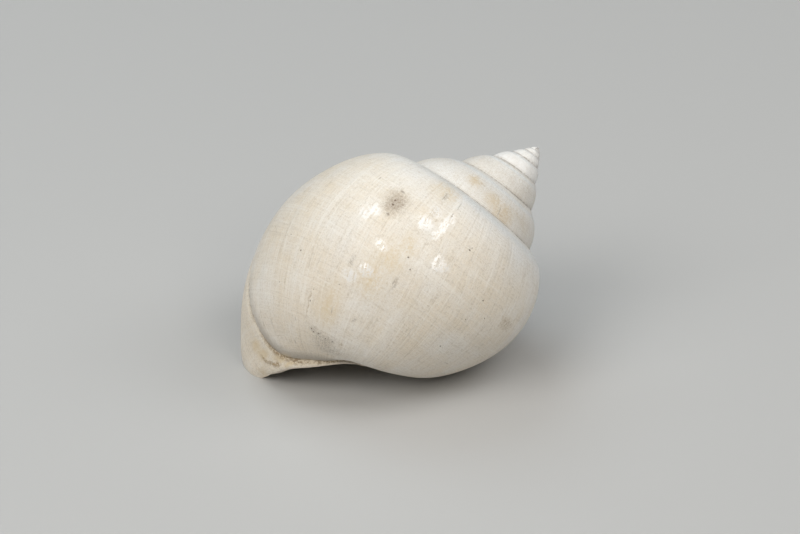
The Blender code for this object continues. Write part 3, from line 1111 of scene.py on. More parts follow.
class NodeBench:
    """A material's nodes, and the few ways in which they are added."""

    def __init__(self, material: bpy.types.Material) -> None:
        """Clears the material's nodes.

        Args:
            material: The material to make.
        """
        material.use_nodes = True
        self.tree = material.node_tree
        self.tree.nodes.clear()

    def node(self, kind: str, settings: dict[str, Any], inputs: dict[str | int, Input]) -> bpy.types.Node:
        """Adds a node.

        Args:
            kind: The node's type.
            settings: What is set on it, before its inputs.
            inputs: What each input socket gets.

        Returns:
            The node.
        """
        node = self.tree.nodes.new(kind)
        for name, setting in settings.items():
            setattr(node, name, setting)
        for name, given in inputs.items():
            socket = node.inputs[name]
            if isinstance(given, Value):
                self.tree.links.new(given.socket, socket)
            elif isinstance(given, bpy.types.NodeSocket):
                self.tree.links.new(given, socket)
            elif isinstance(given, (int, float)):
                socket.default_value = given
            else:
                opaque = (1.0,) * (len(socket.default_value) - len(given))
                socket.default_value = (*given, *opaque)
        return node

    def math(self, operation: str, *values: Input) -> Value:
        """Adds a Math node."""
        node = self.node("ShaderNodeMath", {"operation": operation}, dict(enumerate(values)))
        return Value(self, node.outputs[0])

    def vector(self, operation: str, *values: Input) -> bpy.types.NodeSocket:
        """Adds a Vector Math node that gives a vector."""
        node = self.node("ShaderNodeVectorMath", {"operation": operation}, dict(enumerate(values)))
        return node.outputs["Vector"]

    def length(self, vector: Input) -> Value:
        """Gives a vector's length."""
        node = self.node("ShaderNodeVectorMath", {"operation": "LENGTH"}, {0: vector})
        return Value(self, node.outputs["Value"])

    def join(self, x: Input, y: Input, z: Input = 0.0) -> bpy.types.NodeSocket:
        """Makes a vector of three numbers."""
        return self.node("ShaderNodeCombineXYZ", {}, {"X": x, "Y": y, "Z": z}).outputs["Vector"]

    def parts(self, vector: Input) -> tuple[Value, Value, Value]:
        """Splits a vector into three numbers."""
        node = self.node("ShaderNodeSeparateXYZ", {}, {"Vector": vector})
        return Value(self, node.outputs["X"]), Value(self, node.outputs["Y"]), Value(self, node.outputs["Z"])

    def mix(self, share: Input, first: Input, second: Input) -> bpy.types.NodeSocket:
        """Mixes two colours.

        Args:
            share: How much of the second.
            first: The colour underneath.
            second: The colour over it.

        Returns:
            The mixed colour.
        """
        settings = {"data_type": "RGBA", "clamp_factor": True}
        node = self.node("ShaderNodeMix", settings, {"Factor": share})
        for name, given in (("A_Color", first), ("B_Color", second)):
            socket = next(s for s in node.inputs if s.identifier == name)
            if isinstance(given, bpy.types.NodeSocket):
                self.tree.links.new(given, socket)
            else:
                socket.default_value = (*given, 1.0)
        return next(s for s in node.outputs if s.identifier == "Result_Color")

    def map(self, name: str) -> tuple[Value, Value]:
        """Gives the two numbers of one of the piece's own maps."""
        node = self.node("ShaderNodeUVMap", {"uv_map": name}, {})
        return self.parts(node.outputs["UV"])[:2]

    def place(self) -> bpy.types.NodeSocket:
        """Gives each point's place on the piece, in millimetres."""
        node = self.node("ShaderNodeTexCoord", {}, {})
        return self.vector("MULTIPLY", node.outputs["Object"], (1.0 / MM,) * 3)

    def noise(self, at: Input, scale: float = 1.0, detail: float = 2.0, rough: float = 0.5) -> Value:
        """Gives a noise from 0 to 1.

        Args:
            at: Where to look it up.
            scale: Swells in each unit of distance.
            detail: How many finer layers it has.
            rough: How strong each of those is.

        Returns:
            The noise, with most of it near a half.
        """
        inputs = {"Vector": at, "Scale": scale, "Detail": detail, "Roughness": rough}
        return Value(self, self.node("ShaderNodeTexNoise", {}, inputs).outputs["Fac"])

    def surface(self, colour: Input, roughness: Input, normal: Input, uniform: dict[str, Input]) -> None:
        """Adds the surface shader and its output.

        Args:
            colour: Base colour.
            roughness: How dull it is.
            normal: Its bumped normal.
            uniform: What is the same all over.
        """
        inputs = {"Base Color": colour, "Roughness": roughness, "Normal": normal, **uniform}
        shader = self.node("ShaderNodeBsdfPrincipled", {}, inputs)
        output = self.node("ShaderNodeOutputMaterial", {}, {})
        self.tree.links.new(shader.outputs["BSDF"], output.inputs["Surface"])


@dataclass(frozen=True)
class Mark:
    """A spot or streak on the outside.

    Args:
        turn: The turn it is at.
        place: Its place on the outline.
        wide: Its half width round the whorl, in millimetres.
        tall: Its half height along the outline, in millimetres.
    """

    turn: float
    place: float
    wide: float
    tall: float


class MarkKind(Enum):
    """The kinds of mark."""

    PIT = "pit"
    DASH = "dash"
    YELLOW = "yellow"
    GREY = "grey"
    BROWN = "brown"
    SAND = "sand"
    POLISH = "polish"
    SMUDGE = "smudge"


MARKS: dict[MarkKind, tuple[Mark, ...]] = {
    MarkKind.PIT: (
        Mark(-0.3247, 39.1, 0.12, 0.10),
        Mark(-0.3296, 39.6, 0.10, 0.12),
        Mark(-0.3393, 39.5, 0.13, 0.09),
        Mark(-0.3542, 39.9, 0.09, 0.08),
        Mark(-0.3679, 39.9, 0.10, 0.08),
        Mark(-0.378, 19.7, 0.11, 0.10),
        Mark(-0.389, 21.1, 0.09, 0.09),
        Mark(-0.427, 12.9, 0.13, 0.10),
        Mark(-0.428, 12.4, 0.08, 0.08),
        Mark(-0.260, 27.4, 0.11, 0.11),
        Mark(-0.231, 25.8, 0.08, 0.08),
        Mark(-0.307, 33.95, 0.08, 0.13),
        Mark(-0.305, 31.9, 0.06, 0.08),
        Mark(-0.497, 28.6, 0.09, 0.08),
        Mark(-0.508, 20.1, 0.08, 0.08),
        Mark(-0.486, 17.9, 0.07, 0.08),
        Mark(-0.487, 22.2, 0.07, 0.07),
        Mark(-0.318, 14.3, 0.20, 0.13),
        Mark(-0.315, 13.6, 0.12, 0.10),
    ),
    MarkKind.DASH: (
        Mark(-0.343, 33.7, 0.06, 0.60),
        Mark(-0.272, 11.9, 0.06, 0.28),
        Mark(-0.311, 11.8, 0.34, 0.15),
        Mark(-0.323, 15.9, 0.30, 0.15),
        Mark(-0.291, 38.4, 0.05, 0.28),
        Mark(-0.290, 43.1, 0.06, 0.38),
        Mark(-0.211, 40.8, 0.06, 0.48),
        Mark(-0.540, 30.8, 0.55, 0.07),
        Mark(-0.385, 24.3, 0.06, 0.50),
        Mark(-0.376, 7.7, 0.05, 1.20),
        Mark(-0.379, 10.1, 0.08, 0.45),
        Mark(-0.351, 7.9, 0.05, 1.00),
        Mark(-1.436, 13.2, 0.07, 0.9),
    ),
    MarkKind.YELLOW: (
        Mark(-0.369, 18.3, 1.5, 1.8),
        Mark(-0.363, 21.5, 2.2, 2.4),
        Mark(-0.361, 25.5, 2.1, 3.0),
        Mark(-0.345, 6.8, 2.0, 2.2),
        Mark(-1.342, 9.3, 1.2, 1.0),
        Mark(-1.415, 11.5, 1.5, 1.2),
        Mark(-1.450, 12.5, 1.3, 1.3),
        Mark(-1.445, 14.6, 1.2, 0.9),
        Mark(-0.335, 33.5, 1.8, 3.4),
        Mark(-0.120, 46.9, 0.9, 0.9),
    ),
    MarkKind.GREY: (
        Mark(-0.311, 11.8, 0.55, 0.22),
        Mark(-0.323, 15.9, 0.45, 0.22),
        Mark(-0.329, 39.1, 1.0, 0.8),
        Mark(-0.343, 39.6, 0.9, 0.9),
        Mark(-0.377, 33.1, 0.4, 0.45),
        Mark(-0.352, 40.8, 2.2, 2.0),
        Mark(-0.366, 42.2, 2.4, 1.5),
        Mark(-0.386, 24.3, 0.35, 1.3),
        Mark(-0.328, 25.1, 0.6, 1.1),
        Mark(-0.352, 8.0, 0.4, 1.1),
    ),
    MarkKind.BROWN: (
        Mark(-0.383, 39.7, 0.35, 0.40),
        Mark(-0.186, 25.3, 0.18, 0.38),
        Mark(-0.549, 18.4, 1.8, 1.1),
        Mark(-0.371, 12.5, 0.34, 0.28),
        Mark(-0.390, 14.3, 0.16, 0.16),
        Mark(-1.457, 11.35, 0.24, 0.20),
        Mark(-1.444, 14.2, 0.5, 0.3),
        Mark(-1.360, 8.9, 0.9, 0.25),
        Mark(-0.306, 34.6, 0.14, 3.0),
    ),
    MarkKind.SAND: (
        Mark(-0.153, 43.6, 1.3, 0.9),
        Mark(-0.168, 44.9, 1.6, 0.8),
        Mark(-0.230, 46.2, 1.6, 0.7),
        Mark(-0.256, 47.3, 1.2, 0.4),
    ),
    # Patches of old glaze, whitened partly as a painted highlight.
    MarkKind.POLISH: (
        Mark(-0.305, 16.5, 1.1, 0.7),
        Mark(-0.303, 17.7, 0.9, 0.6),
        Mark(-0.361, 13.7, 1.2, 0.9),
        Mark(-0.362, 11.5, 0.8, 0.7),
        Mark(-0.382, 12.2, 0.65, 1.3),
        Mark(-0.381, 10.8, 0.5, 0.8),
        Mark(-0.383, 14.2, 0.5, 0.8),
        Mark(-0.407, 17.4, 0.9, 0.9),
        Mark(-0.417, 17.6, 0.8, 0.7),
        Mark(-0.409, 18.5, 0.6, 0.6),
        Mark(-0.345, 20.6, 0.8, 0.7),
        Mark(-0.351, 25.1, 1.1, 0.8),
        Mark(-0.338, 27.1, 1.0, 0.7),
    ),
    MarkKind.SMUDGE: (Mark(-0.3175, 13.8, 2.3, 2.2),),
}


@dataclass(frozen=True)
class Palette:
    """The outside's colours.

    Args:
        cream: The body.
        white: Where it is chalkiest.
        chalk: The oldest whorls.
        pale: The ledge beside the suture: paler chalk, tinted cool as a painted sheen of the light above.
        tan: The greyer growth streaks.
        band: The band at the base.
        scratch: The dark hairlines.
        scuff: The light hairlines.
        yellow: The iron stain.
        smudge: The smudge on the shoulder.
        core: Its darkest part.
        grey: The grey marks.
        brown: The brown marks.
        mottle: The mottling of the spire's stains.
        shade: Painted shade along the step at the base.
        smoke: A dark grey for the ledge's specks, the darkening along the sutures and the painted shade in
            the groove.
        sand: The dirt that still sticks to the base.
        silt: The line of silt on the band.
        crust: The darkest crumbs of dirt.
        freckle: The faint freckles.
        earth: The brown of dirt in pits and corners.
        glaze: What is left of the old glaze, paler than the chalk and whitened further as a painted
            highlight.
    """

    cream: Colour = (0.775, 0.685, 0.55)
    white: Colour = (0.80, 0.795, 0.775)
    chalk: Colour = (0.88, 0.87, 0.86)
    pale: Colour = (0.78, 0.80, 0.80)
    tan: Colour = (0.53, 0.47, 0.385)
    band: Colour = (0.84, 0.74, 0.59)
    scratch: Colour = (0.40, 0.33, 0.24)
    scuff: Colour = (0.86, 0.83, 0.77)
    yellow: Colour = (0.69, 0.575, 0.40)
    smudge: Colour = (0.40, 0.325, 0.235)
    core: Colour = (0.27, 0.205, 0.15)
    grey: Colour = (0.38, 0.335, 0.28)
    brown: Colour = (0.42, 0.325, 0.21)
    mottle: Colour = (0.56, 0.44, 0.28)
    shade: Colour = (0.30, 0.27, 0.235)
    smoke: Colour = (0.30, 0.265, 0.225)
    sand: Colour = (0.66, 0.52, 0.30)
    silt: Colour = (0.40, 0.28, 0.14)
    crust: Colour = (0.28, 0.19, 0.105)
    freckle: Colour = (0.45, 0.34, 0.22)
    earth: Colour = (0.16, 0.105, 0.06)
    glaze: Colour = (0.91, 0.905, 0.895)


class Coat:
    """A surface's colour, as one thing after another is laid over it."""

    def __init__(self, bench: NodeBench, colour: Input) -> None:
        """Starts with the bare colour.

        Args:
            bench: The material's nodes.
            colour: The bare colour.
        """
        self.bench = bench
        self.colour = colour

    def paint(self, share: Input, colour: Input) -> None:
        """Lays a colour over what is there.

        Args:
            share: How thickly, from 0 to 1.
            colour: The colour to lay on.
        """
        self.colour = self.bench.mix(share, self.colour, colour)


class Texture:
    """Where each point of the outside is, in millimetres, and the noises that its finish is made of.

    The noises run from 0 to 1, with most of each near a half.
    """

    def __init__(self, bench: NodeBench) -> None:
        """Adds the maps and the noises.

        Args:
            bench: The material's nodes.
        """
        self.arc, self.place = arc, place = bench.map(GROWTH_MAP)
        self.past, self.suture = bench.map(EDGE_MAP)
        self.spot = spot = bench.place()

        # The same in every direction, from the widest to the finest.
        self.cloud = bench.noise(spot, 0.13, 3.0, 0.55)
        self.patch = bench.noise(bench.vector("ADD", spot, (31.0, 7.0, 12.0)), 0.33, 4.0, 0.6)
        self.grain = bench.noise(spot, 3.2, 3.0, 0.6)
        self.dust = bench.noise(spot, 9.0, 2.0, 0.6)

        # Drawn out along the growth lines.
        self.coarse = bench.noise(bench.join(arc * 0.30, place * 0.035), 1.0, 3.0, 0.55)
        self.streak = bench.noise(bench.join(arc * 1.1, place * 0.06, 4.0), 1.0, 4.0, 0.6)
        self.thread = bench.noise(bench.join(arc * 3.1, place * 0.16, 9.0), 1.0, 2.0, 0.5)

        # Drawn out round the whorls.
        self.cord = bench.noise(bench.join(arc * 0.10, place * 1.9, 2.0), 1.0, 3.0, 0.6)
        self.cloth = bench.noise(bench.join(arc * 0.25, place * 3.6, 6.0), 1.0, 2.0, 0.5)

        # What makes the edges of marks uneven, from -0.5 to 0.5, and what speckles them.
        self.wobble_across = bench.noise(spot, 0.8, 3.0, 0.6) - 0.5
        self.wobble_along = bench.noise(bench.vector("ADD", spot, (5.0, 40.0, 3.0)), 0.8, 3.0, 0.6) - 0.5
        self.speckle = (self.grain * 0.5 + self.dust * 0.6).step(0.46, 0.66)


@dataclass(frozen=True)
class Zones:
    """The parts of the outside that are finished in their own ways: each is 1 inside and 0 outside.

    Args:
        young: What grew after the snail's growth once stopped.
        high: The shoulder and the spire.
        band: The band at the base.
        older: Everything but the part next to the lip.
        foot: The foot of the step along the band's upper edge.
        early: Everything but the oldest whorls.
        spire: The spire without its oldest whorls.
        oldest: The oldest whorls.
        lower: The lower half of the spire's whorls.
        ledge: The narrow ledge beside the suture.
    """

    young: Value
    high: Value
    band: Value
    older: Value
    foot: Value
    early: Value
    spire: Value
    oldest: Value
    lower: Value
    ledge: Value


@dataclass(frozen=True)
class OutsideFinish:
    """The outside: chalky cream shell, rubbed smooth, with what the ground left on it.

    Args:
        outline: The whorl's outline.
        relief: Its relief, which says where growth lines run.
        palette: Its colours.
        dull: Roughness of the chalky surface.
        polish: Roughness where the old glaze is left.
        spire_turn: Turn at the suture where the spire begins.
        stain_turn: Turn at the suture from which the lower half of the spire's whorls is duller.
        lip_turn: Turn at the suture up to which the step at the base is cleaner.
        oldest_arc: Where the tan of the spire ends, in millimetres round the growth map.
        chalk_arc: Where the whorls turn to bare chalk.
        clean_arcs: Between which the darkening along the sutures gives out towards the apex.
        silt_at: One point of the line of silt: round the growth map, and past the sheath line.
        silt_slope: How fast that line draws away from the sheath line.
        silt_arcs: Where the line fades in, from and to, and where it fades out, to and from.
        cell: How many freckles there are in each millimetre, along each way.
    """

    outline: Outline
    relief: Relief
    palette: Palette = field(default_factory=Palette)
    dull: float = 0.5
    polish: float = 0.2
    spire_turn: float = -1.1
    stain_turn: float = -1.31
    lip_turn: float = -0.085
    oldest_arc: float = -192.0
    chalk_arc: float = -186.0
    clean_arcs: tuple[float, float] = (-236.0, -222.0)
    silt_at: tuple[float, float] = (-9.2, 3.12)
    silt_slope: float = 0.229
    silt_arcs: tuple[float, float, float, float] = (-17.6, -15.6, -8.4, -10.0)
    cell: float = 0.62

    def _arc(self, turn: float) -> float:
        """Gives the place on the growth map of the growth line that meets the suture at a turn."""
        return float(self.outline.arc(turn))

    def _on_map(self, mark: Mark) -> tuple[tuple[float, float], tuple[float, float]]:
        """Gives a mark's middle on the growth map and its half sizes there."""
        turn = np.full((1, 1), mark.turn)
        places = np.array((mark.place,))
        arc = float(self.outline.arc(self.relief.growth_line(turn, places))[0, 0])
        radius = float(self.outline.section(turn, places)[0, 0, 0])
        size = float(self.outline.growth.size(mark.turn))
        shrink = radius / (self.outline.widest[0] * size)
        return (arc, mark.place), (mark.wide / shrink, mark.tall / size)

    def _nearness(self, bench: NodeBench, across: Value, along: Value, marks: Iterable[Mark]) -> Value:
        """Gives the distance from the nearest of some marks: 0 in its middle and 1 at its edge."""
        nearest: Value | None = None
        for mark in marks:
            (x, y), (wide, tall) = self._on_map(mark)
            gap = bench.length(bench.join((across - x) / wide, (along - y) / tall))
            nearest = gap if nearest is None else nearest.lowest(gap)
        return nearest

    def _near(self, bench: NodeBench, on: Texture) -> dict[MarkKind, Value]:
        """Gives the distance from the nearest mark of each kind. Small marks have finer edges."""
        rough = (on.arc + on.wobble_across * 1.6, on.place + on.wobble_along * 1.6)
        fine = (on.arc + (on.grain - 0.5) * 0.35, on.place + (on.dust - 0.5) * 0.3)
        small = (MarkKind.PIT, MarkKind.DASH)
        return {
            kind: self._nearness(bench, *(fine if kind in small else rough), marks)
            for kind, marks in MARKS.items()
        }

    def _zones(self, on: Texture) -> Zones:
        """Works out where each zone is."""
        behind = self._arc(self.relief.step_turn) - on.arc + (on.place - 13.0).highest(0.0) * 0.15
        young = behind.step(0.3, -0.3)
        past_spire = on.arc - self._arc(self.spire_turn)
        older = (on.arc - self._arc(self.lip_turn)).step(0.0, -6.0)
        early = (on.arc - self.oldest_arc).step(-8.0, 6.0)
        duller = (on.arc - self._arc(self.stain_turn)).step(1.0, -2.0)
        return Zones(
            young=young,
            high=on.place.step(13.0, 3.0).highest(past_spire.step(2.0, -6.0)),
            band=on.past.step(-0.05, 0.15),
            older=older,
            foot=on.past.step(-0.3, 0.1) * on.past.step(0.75, 0.3) * older,
            early=early,
            spire=past_spire.step(2.0, -5.0) * early,
            oldest=(on.arc - self.chalk_arc).step(2.0, -8.0),
            lower=on.place.step(7.0, 10.0) * duller,
            ledge=on.place.step(2.2, 3.2) * on.place.step(6.4, 4.4) * (1.0 - young).highest(0.0),
        )

    def _lay_ground(self, coat: Coat, on: Texture, zones: Zones) -> None:
        """Lays the shell's colours, whiter up high partly as painted sheen, and the fine grain of growth and
        spiral lines.
        """
        paint, palette = coat.paint, self.palette
        # Less cream on the shoulder and spire: partly their chalkier shell, partly a painted sheen facing the
        # light above.
        warm = (on.cloud * 0.9 + on.patch * 0.6 + on.coarse * 0.5 - 0.5).step(-0.1, 0.9) - zones.high * 0.75
        paint(warm.highest(0.0), palette.cream)
        streaks = on.streak.step(0.52, 0.76) * 0.2 + on.coarse.step(0.55, 0.8) * 0.1
        paint(streaks * (0.4 + on.patch), palette.tan)
        paint(zones.band * (0.35 + on.cloud * 0.5) * on.past.step(9.0, 5.0), palette.band)
        busy = (0.27 + on.patch * 0.62) * (0.8 + zones.young * 0.3) * (0.45 + on.coarse * 1.2)
        paint(on.thread.step(0.48, 0.70) * 0.27 * busy, palette.tan)
        paint(on.cord.step(0.50, 0.74) * 0.15 * busy, palette.tan)
        paint(on.cloth.step(0.50, 0.70) * 0.19 * busy, palette.tan)
        paint((on.thread.step(0.48, 0.30) + on.cloth.step(0.48, 0.30)) * 0.28 * busy, palette.white)
        paint(on.grain.step(0.50, 0.72) * 0.40, palette.tan)
        paint(on.dust.step(0.50, 0.70) * 0.42, palette.tan)
        paint(on.dust.step(0.48, 0.30) * 0.45, palette.white)

    @staticmethod
    def _hairline(bench: NodeBench, across: Value, along: Value, seed: float) -> Value:
        """Gives long hairlines that wander a little: where a drawn-out noise passes through its middle."""
        middle = bench.noise(bench.join(across, along, seed), 1.0, 2.0, 0.5) - 0.5
        return middle.highest(-middle).step(0.020, 0.004)

    def _lay_hairlines(self, coat: Coat, on: Texture, zones: Zones) -> Value:
        """Lays dark and light hairlines along the growth lines and round the whorls.

        Args:
            coat: What they are laid on.
            on: The outside's texture.
            zones: Its zones.

        Returns:
            How far they stand up: below 0 where they are cut in.
        """
        bench = coat.bench
        dark_line = self._hairline(bench, on.arc * 0.60, on.place * 0.022, 21.0)
        light_line = self._hairline(bench, on.arc * 0.75, on.place * 0.030, 27.0)
        dark_ring = self._hairline(bench, on.arc * 0.030, on.place * 0.62, 33.0)
        light_ring = self._hairline(bench, on.arc * 0.024, on.place * 0.80, 39.0)
        broken = (on.grain * 0.6 + on.patch * 0.7).step(0.52, 0.80) * (1.0 - zones.high.highest(0.0) * 0.6)
        coat.paint(dark_line.highest(dark_ring * 0.7) * broken * 0.27, self.palette.scratch)
        coat.paint(light_line.highest(light_ring * 0.8) * (1.0 - broken * 0.5) * 0.42, self.palette.scuff)
        return light_line + light_ring * 0.6 - dark_line - dark_ring * 0.6

    def _lay_stains(self, coat: Coat, on: Texture, near: dict[MarkKind, Value]) -> Value:
        """Lays the yellow stains, the smudge and the grey and brown marks, and gives where the smudge is."""
        palette = self.palette
        mottled = (on.streak * 0.6 + on.grain * 0.7 + on.dust * 0.4).step(0.50, 1.12)
        yellow = near[MarkKind.YELLOW].step(1.6, 0.0) * mottled
        shifted = coat.bench.vector("ADD", on.spot, (80.0, 3.0, 55.0))
        wild = coat.bench.noise(shifted, 0.2, 3.0, 0.6).step(0.6, 0.78)
        coat.paint(yellow.highest(wild * on.patch * 0.4), palette.yellow)
        smudge = (near[MarkKind.SMUDGE] + (on.grain - 0.5) * 0.5).step(1.15, 0.5)
        core = near[MarkKind.SMUDGE].step(0.75, 0.15)
        coat.paint(smudge * (0.22 + 0.46 * on.speckle), palette.smudge)
        coat.paint(core * (0.34 + 0.30 * on.speckle), palette.core)
        grey = near[MarkKind.GREY].step(1.2, 0.2)
        coat.paint(grey * (0.12 + on.speckle * (0.22 + on.patch * 0.62)), palette.grey)
        brown = near[MarkKind.BROWN].step(1.2, 0.3)
        coat.paint(brown * (0.12 + 0.55 * on.speckle), palette.brown)
        return smudge

    def _dress_spire(self, coat: Coat, on: Texture, zones: Zones, near: dict[MarkKind, Value]) -> None:
        """Lays the spire's chalk, its duller lower halves, the pale ledge with its painted sheen, and the
        mottling.
        """
        palette = self.palette
        coat.paint(zones.oldest * 0.4, palette.chalk)
        coat.paint(zones.spire * (0.10 + on.patch * 0.14 + on.dust.step(0.52, 0.66) * 0.30), palette.tan)
        coat.paint(zones.spire * (on.grain * 0.5 + on.dust * 0.5).step(0.46, 0.36) * 0.35, palette.white)
        lower = zones.lower * (0.1 + on.patch * 0.5 + (on.streak - 0.5) * 0.7)
        coat.paint(lower.highest(0.0) * 0.6 * zones.early, palette.tan)
        # The pale ledge: partly paler chalk, partly a cool painted sheen where it faces the light above.
        ledge = zones.ledge * (0.15 + on.patch * 0.5 + on.grain * 0.5)
        coat.paint(ledge, palette.pale)
        coat.paint(ledge * on.speckle * 0.30, palette.smoke)
        mottle = near[MarkKind.YELLOW].step(1.9, 0.6) * zones.spire * (on.streak * 0.4 + on.speckle * 0.7)
        coat.paint(mottle * 0.42, palette.mottle)

    def _paint_step_shade(self, coat: Coat, on: Texture, zones: Zones) -> Value:
        """Lays painted shade along the step above the band, darkest in the groove at its foot, and gives
        where that groove is.
        """
        groove = on.past.step(-0.14, -0.02) * on.past.step(0.16, 0.04) * (0.62 + 0.55 * zones.older)
        # Painted shade on the band just under the step and on the body's slope into the crease above it.
        under = on.past.step(-0.02, 0.08) * on.past.step(0.9, 0.1) * (0.12 + 0.25 * zones.older)
        over = on.past.step(-2.4, 0.0) * on.past.step(0.1, 0.0) * zones.older * 0.75
        coat.paint(over.highest(under), self.palette.shade)
        # A painted dark line of shade in the groove at the foot of the step.
        coat.paint(groove * (0.45 + on.grain * 0.7), self.palette.smoke)
        return groove

    def _lay_base_dirt(
        self, coat: Coat, on: Texture, zones: Zones, near: dict[MarkKind, Value]
    ) -> tuple[Value, Value]:
        """Lays the sand, the line of silt and the crumbs of dirt on the band.

        Args:
            coat: What they are laid on.
            on: The outside's texture.
            zones: Its zones.
            near: How near each kind of mark is.

        Returns:
            Where the dirt is, and its crumbs.
        """
        palette = self.palette
        sand = near[MarkKind.SAND].step(1.3, 0.2) * (0.2 + on.streak * 0.5 + on.grain * 0.5)
        coat.paint((sand * 0.8).highest(zones.foot * on.patch * 0.8), palette.sand)
        silt_arc, silt_past = self.silt_at
        comes_from, comes_to, goes_to, goes_from = self.silt_arcs
        off_line = on.past - silt_past - (on.arc - silt_arc) * self.silt_slope + on.wobble_across * 0.5
        silt = off_line.step(-0.28, -0.06) * off_line.step(0.28, 0.06)
        silt = silt * on.arc.step(comes_from, comes_to) * on.arc.step(goes_to, goes_from)
        crumbs = (on.dust * 0.5 + on.grain * 0.6).step(0.48, 0.58)
        silt = silt * (0.2 + crumbs * 0.6) * on.grain.step(0.34, 0.52)
        coat.paint(silt, palette.silt)
        loose = zones.foot * (on.grain * 0.7 + on.patch * 0.9).step(0.66, 0.84)
        dirt = loose * crumbs * 0.8
        coat.paint(dirt, palette.crust)
        return dirt.highest(silt), crumbs

    def _darken_sutures(self, coat: Coat, on: Texture) -> Value:
        """Darkens along the sutures with a broken line and a fainter even band, and gives where the broken
        line is thickest.
        """
        shown = on.arc.step(*self.clean_arcs)
        creek = on.suture.step(0.20, 0.03) * (on.grain * 0.9 + on.patch * 0.7).step(0.55, 0.95) * shown
        coat.paint((creek * 0.8).highest(on.suture.step(0.5, 0.0) * 0.22 * shown), self.palette.smoke)
        return creek

    def _lay_holes(self, coat: Coat, on: Texture, near: dict[MarkKind, Value]) -> Value:
        """Lays freckles, pits, short scores and pinholes, and gives how deep each of them is."""
        bench = coat.bench
        inputs = {"Vector": on.spot, "Scale": self.cell, "Randomness": 1.0}
        cells = bench.node("ShaderNodeTexVoronoi", {}, inputs)
        chance, kind_of, _ = bench.parts(cells.outputs["Color"])
        gap = Value(bench, cells.outputs["Distance"]) / self.cell + (on.dust - 0.5) * 0.12
        pinhole = gap.step(0.11, 0.05) * chance.step(0.74, 0.76)
        freckle = gap.step(0.26, 0.08) * chance.step(0.40, 0.38) * kind_of.step(0.4, 0.6)
        coat.paint(freckle * 0.3, self.palette.freckle)
        pit = near[MarkKind.PIT].step(1.15, 0.6)
        dash = near[MarkKind.DASH].step(1.1, 0.5)
        holes = pit.highest(dash * 0.42).highest(pinhole * kind_of.step(0.2, 0.7) * 0.7)
        coat.paint(holes * 0.85, self.palette.earth)
        return holes

    def _lay_glaze_and_glint(self, coat: Coat, on: Texture, near: dict[MarkKind, Value]) -> Value:
        """Lays the patches that are worn to a gloss, whitened partly as painted highlight, and gives where
        they are.
        """
        rubbed = on.thread * 0.45 + on.grain * 0.55 + on.dust * 0.2
        glaze = (near[MarkKind.POLISH] + (on.patch - 0.5) * 0.8).step(1.4, 0.5) * rubbed.step(0.68, 0.56)
        # The whitening is partly the old glaze's paler colour and partly a painted highlight where it glints.
        coat.paint(glaze * 0.62, self.palette.glaze)
        return glaze

    def apply(self, material: bpy.types.Material) -> None:
        """Makes the finish.

        Args:
            material: The material that gets it.
        """
        bench = NodeBench(material)
        on = Texture(bench)
        zones = self._zones(on)
        near = self._near(bench, on)
        coat = Coat(bench, self.palette.white)
        self._lay_ground(coat, on, zones)
        hairlines = self._lay_hairlines(coat, on, zones)
        smudge = self._lay_stains(coat, on, near)
        self._dress_spire(coat, on, zones, near)
        groove = self._paint_step_shade(coat, on, zones)
        dirt, crumbs = self._lay_base_dirt(coat, on, zones, near)
        creek = self._darken_sutures(coat, on)
        holes = self._lay_holes(coat, on, near)
        glaze = self._lay_glaze_and_glint(coat, on, near)

        hatch = on.thread * 0.6 + on.cloth * 0.5
        stray = on.patch.step(0.57, 0.68) * hatch.step(0.62, 0.45)
        roughness = self.dull + (on.cloud - 0.5) * 0.2 + (on.grain - 0.5) * 0.16 - stray * 0.10
        roughness = roughness - glaze * (self.dull - self.polish)
        roughness = roughness + (dirt + smudge * 0.3 + zones.foot * 0.4) * 0.15

        raised = (on.thread - 0.5) * 0.035 + (on.streak - 0.5) * 0.05
        raised = raised + (on.cord - 0.5) * 0.016 + (on.cloth - 0.5) * 0.016 + hairlines * 0.008
        raised = raised * (1.0 - glaze * 0.35) + (on.grain - 0.5) * 0.02 + (on.dust - 0.5) * 0.008
        raised = raised - holes * 0.09 - creek * 0.04 - groove * 0.06
        raised = raised - zones.band * 0.05 + dirt * crumbs * 0.06
        bump = bench.node("ShaderNodeBump", {}, {"Strength": 1.0, "Distance": MM, "Height": raised})
        uniform = {"IOR": 1.5, "Coat Weight": glaze, "Coat Roughness": 0.14, "Coat IOR": 1.6}
        bench.surface(coat.colour, roughness.highest(0.12), bump.outputs["Normal"], uniform)


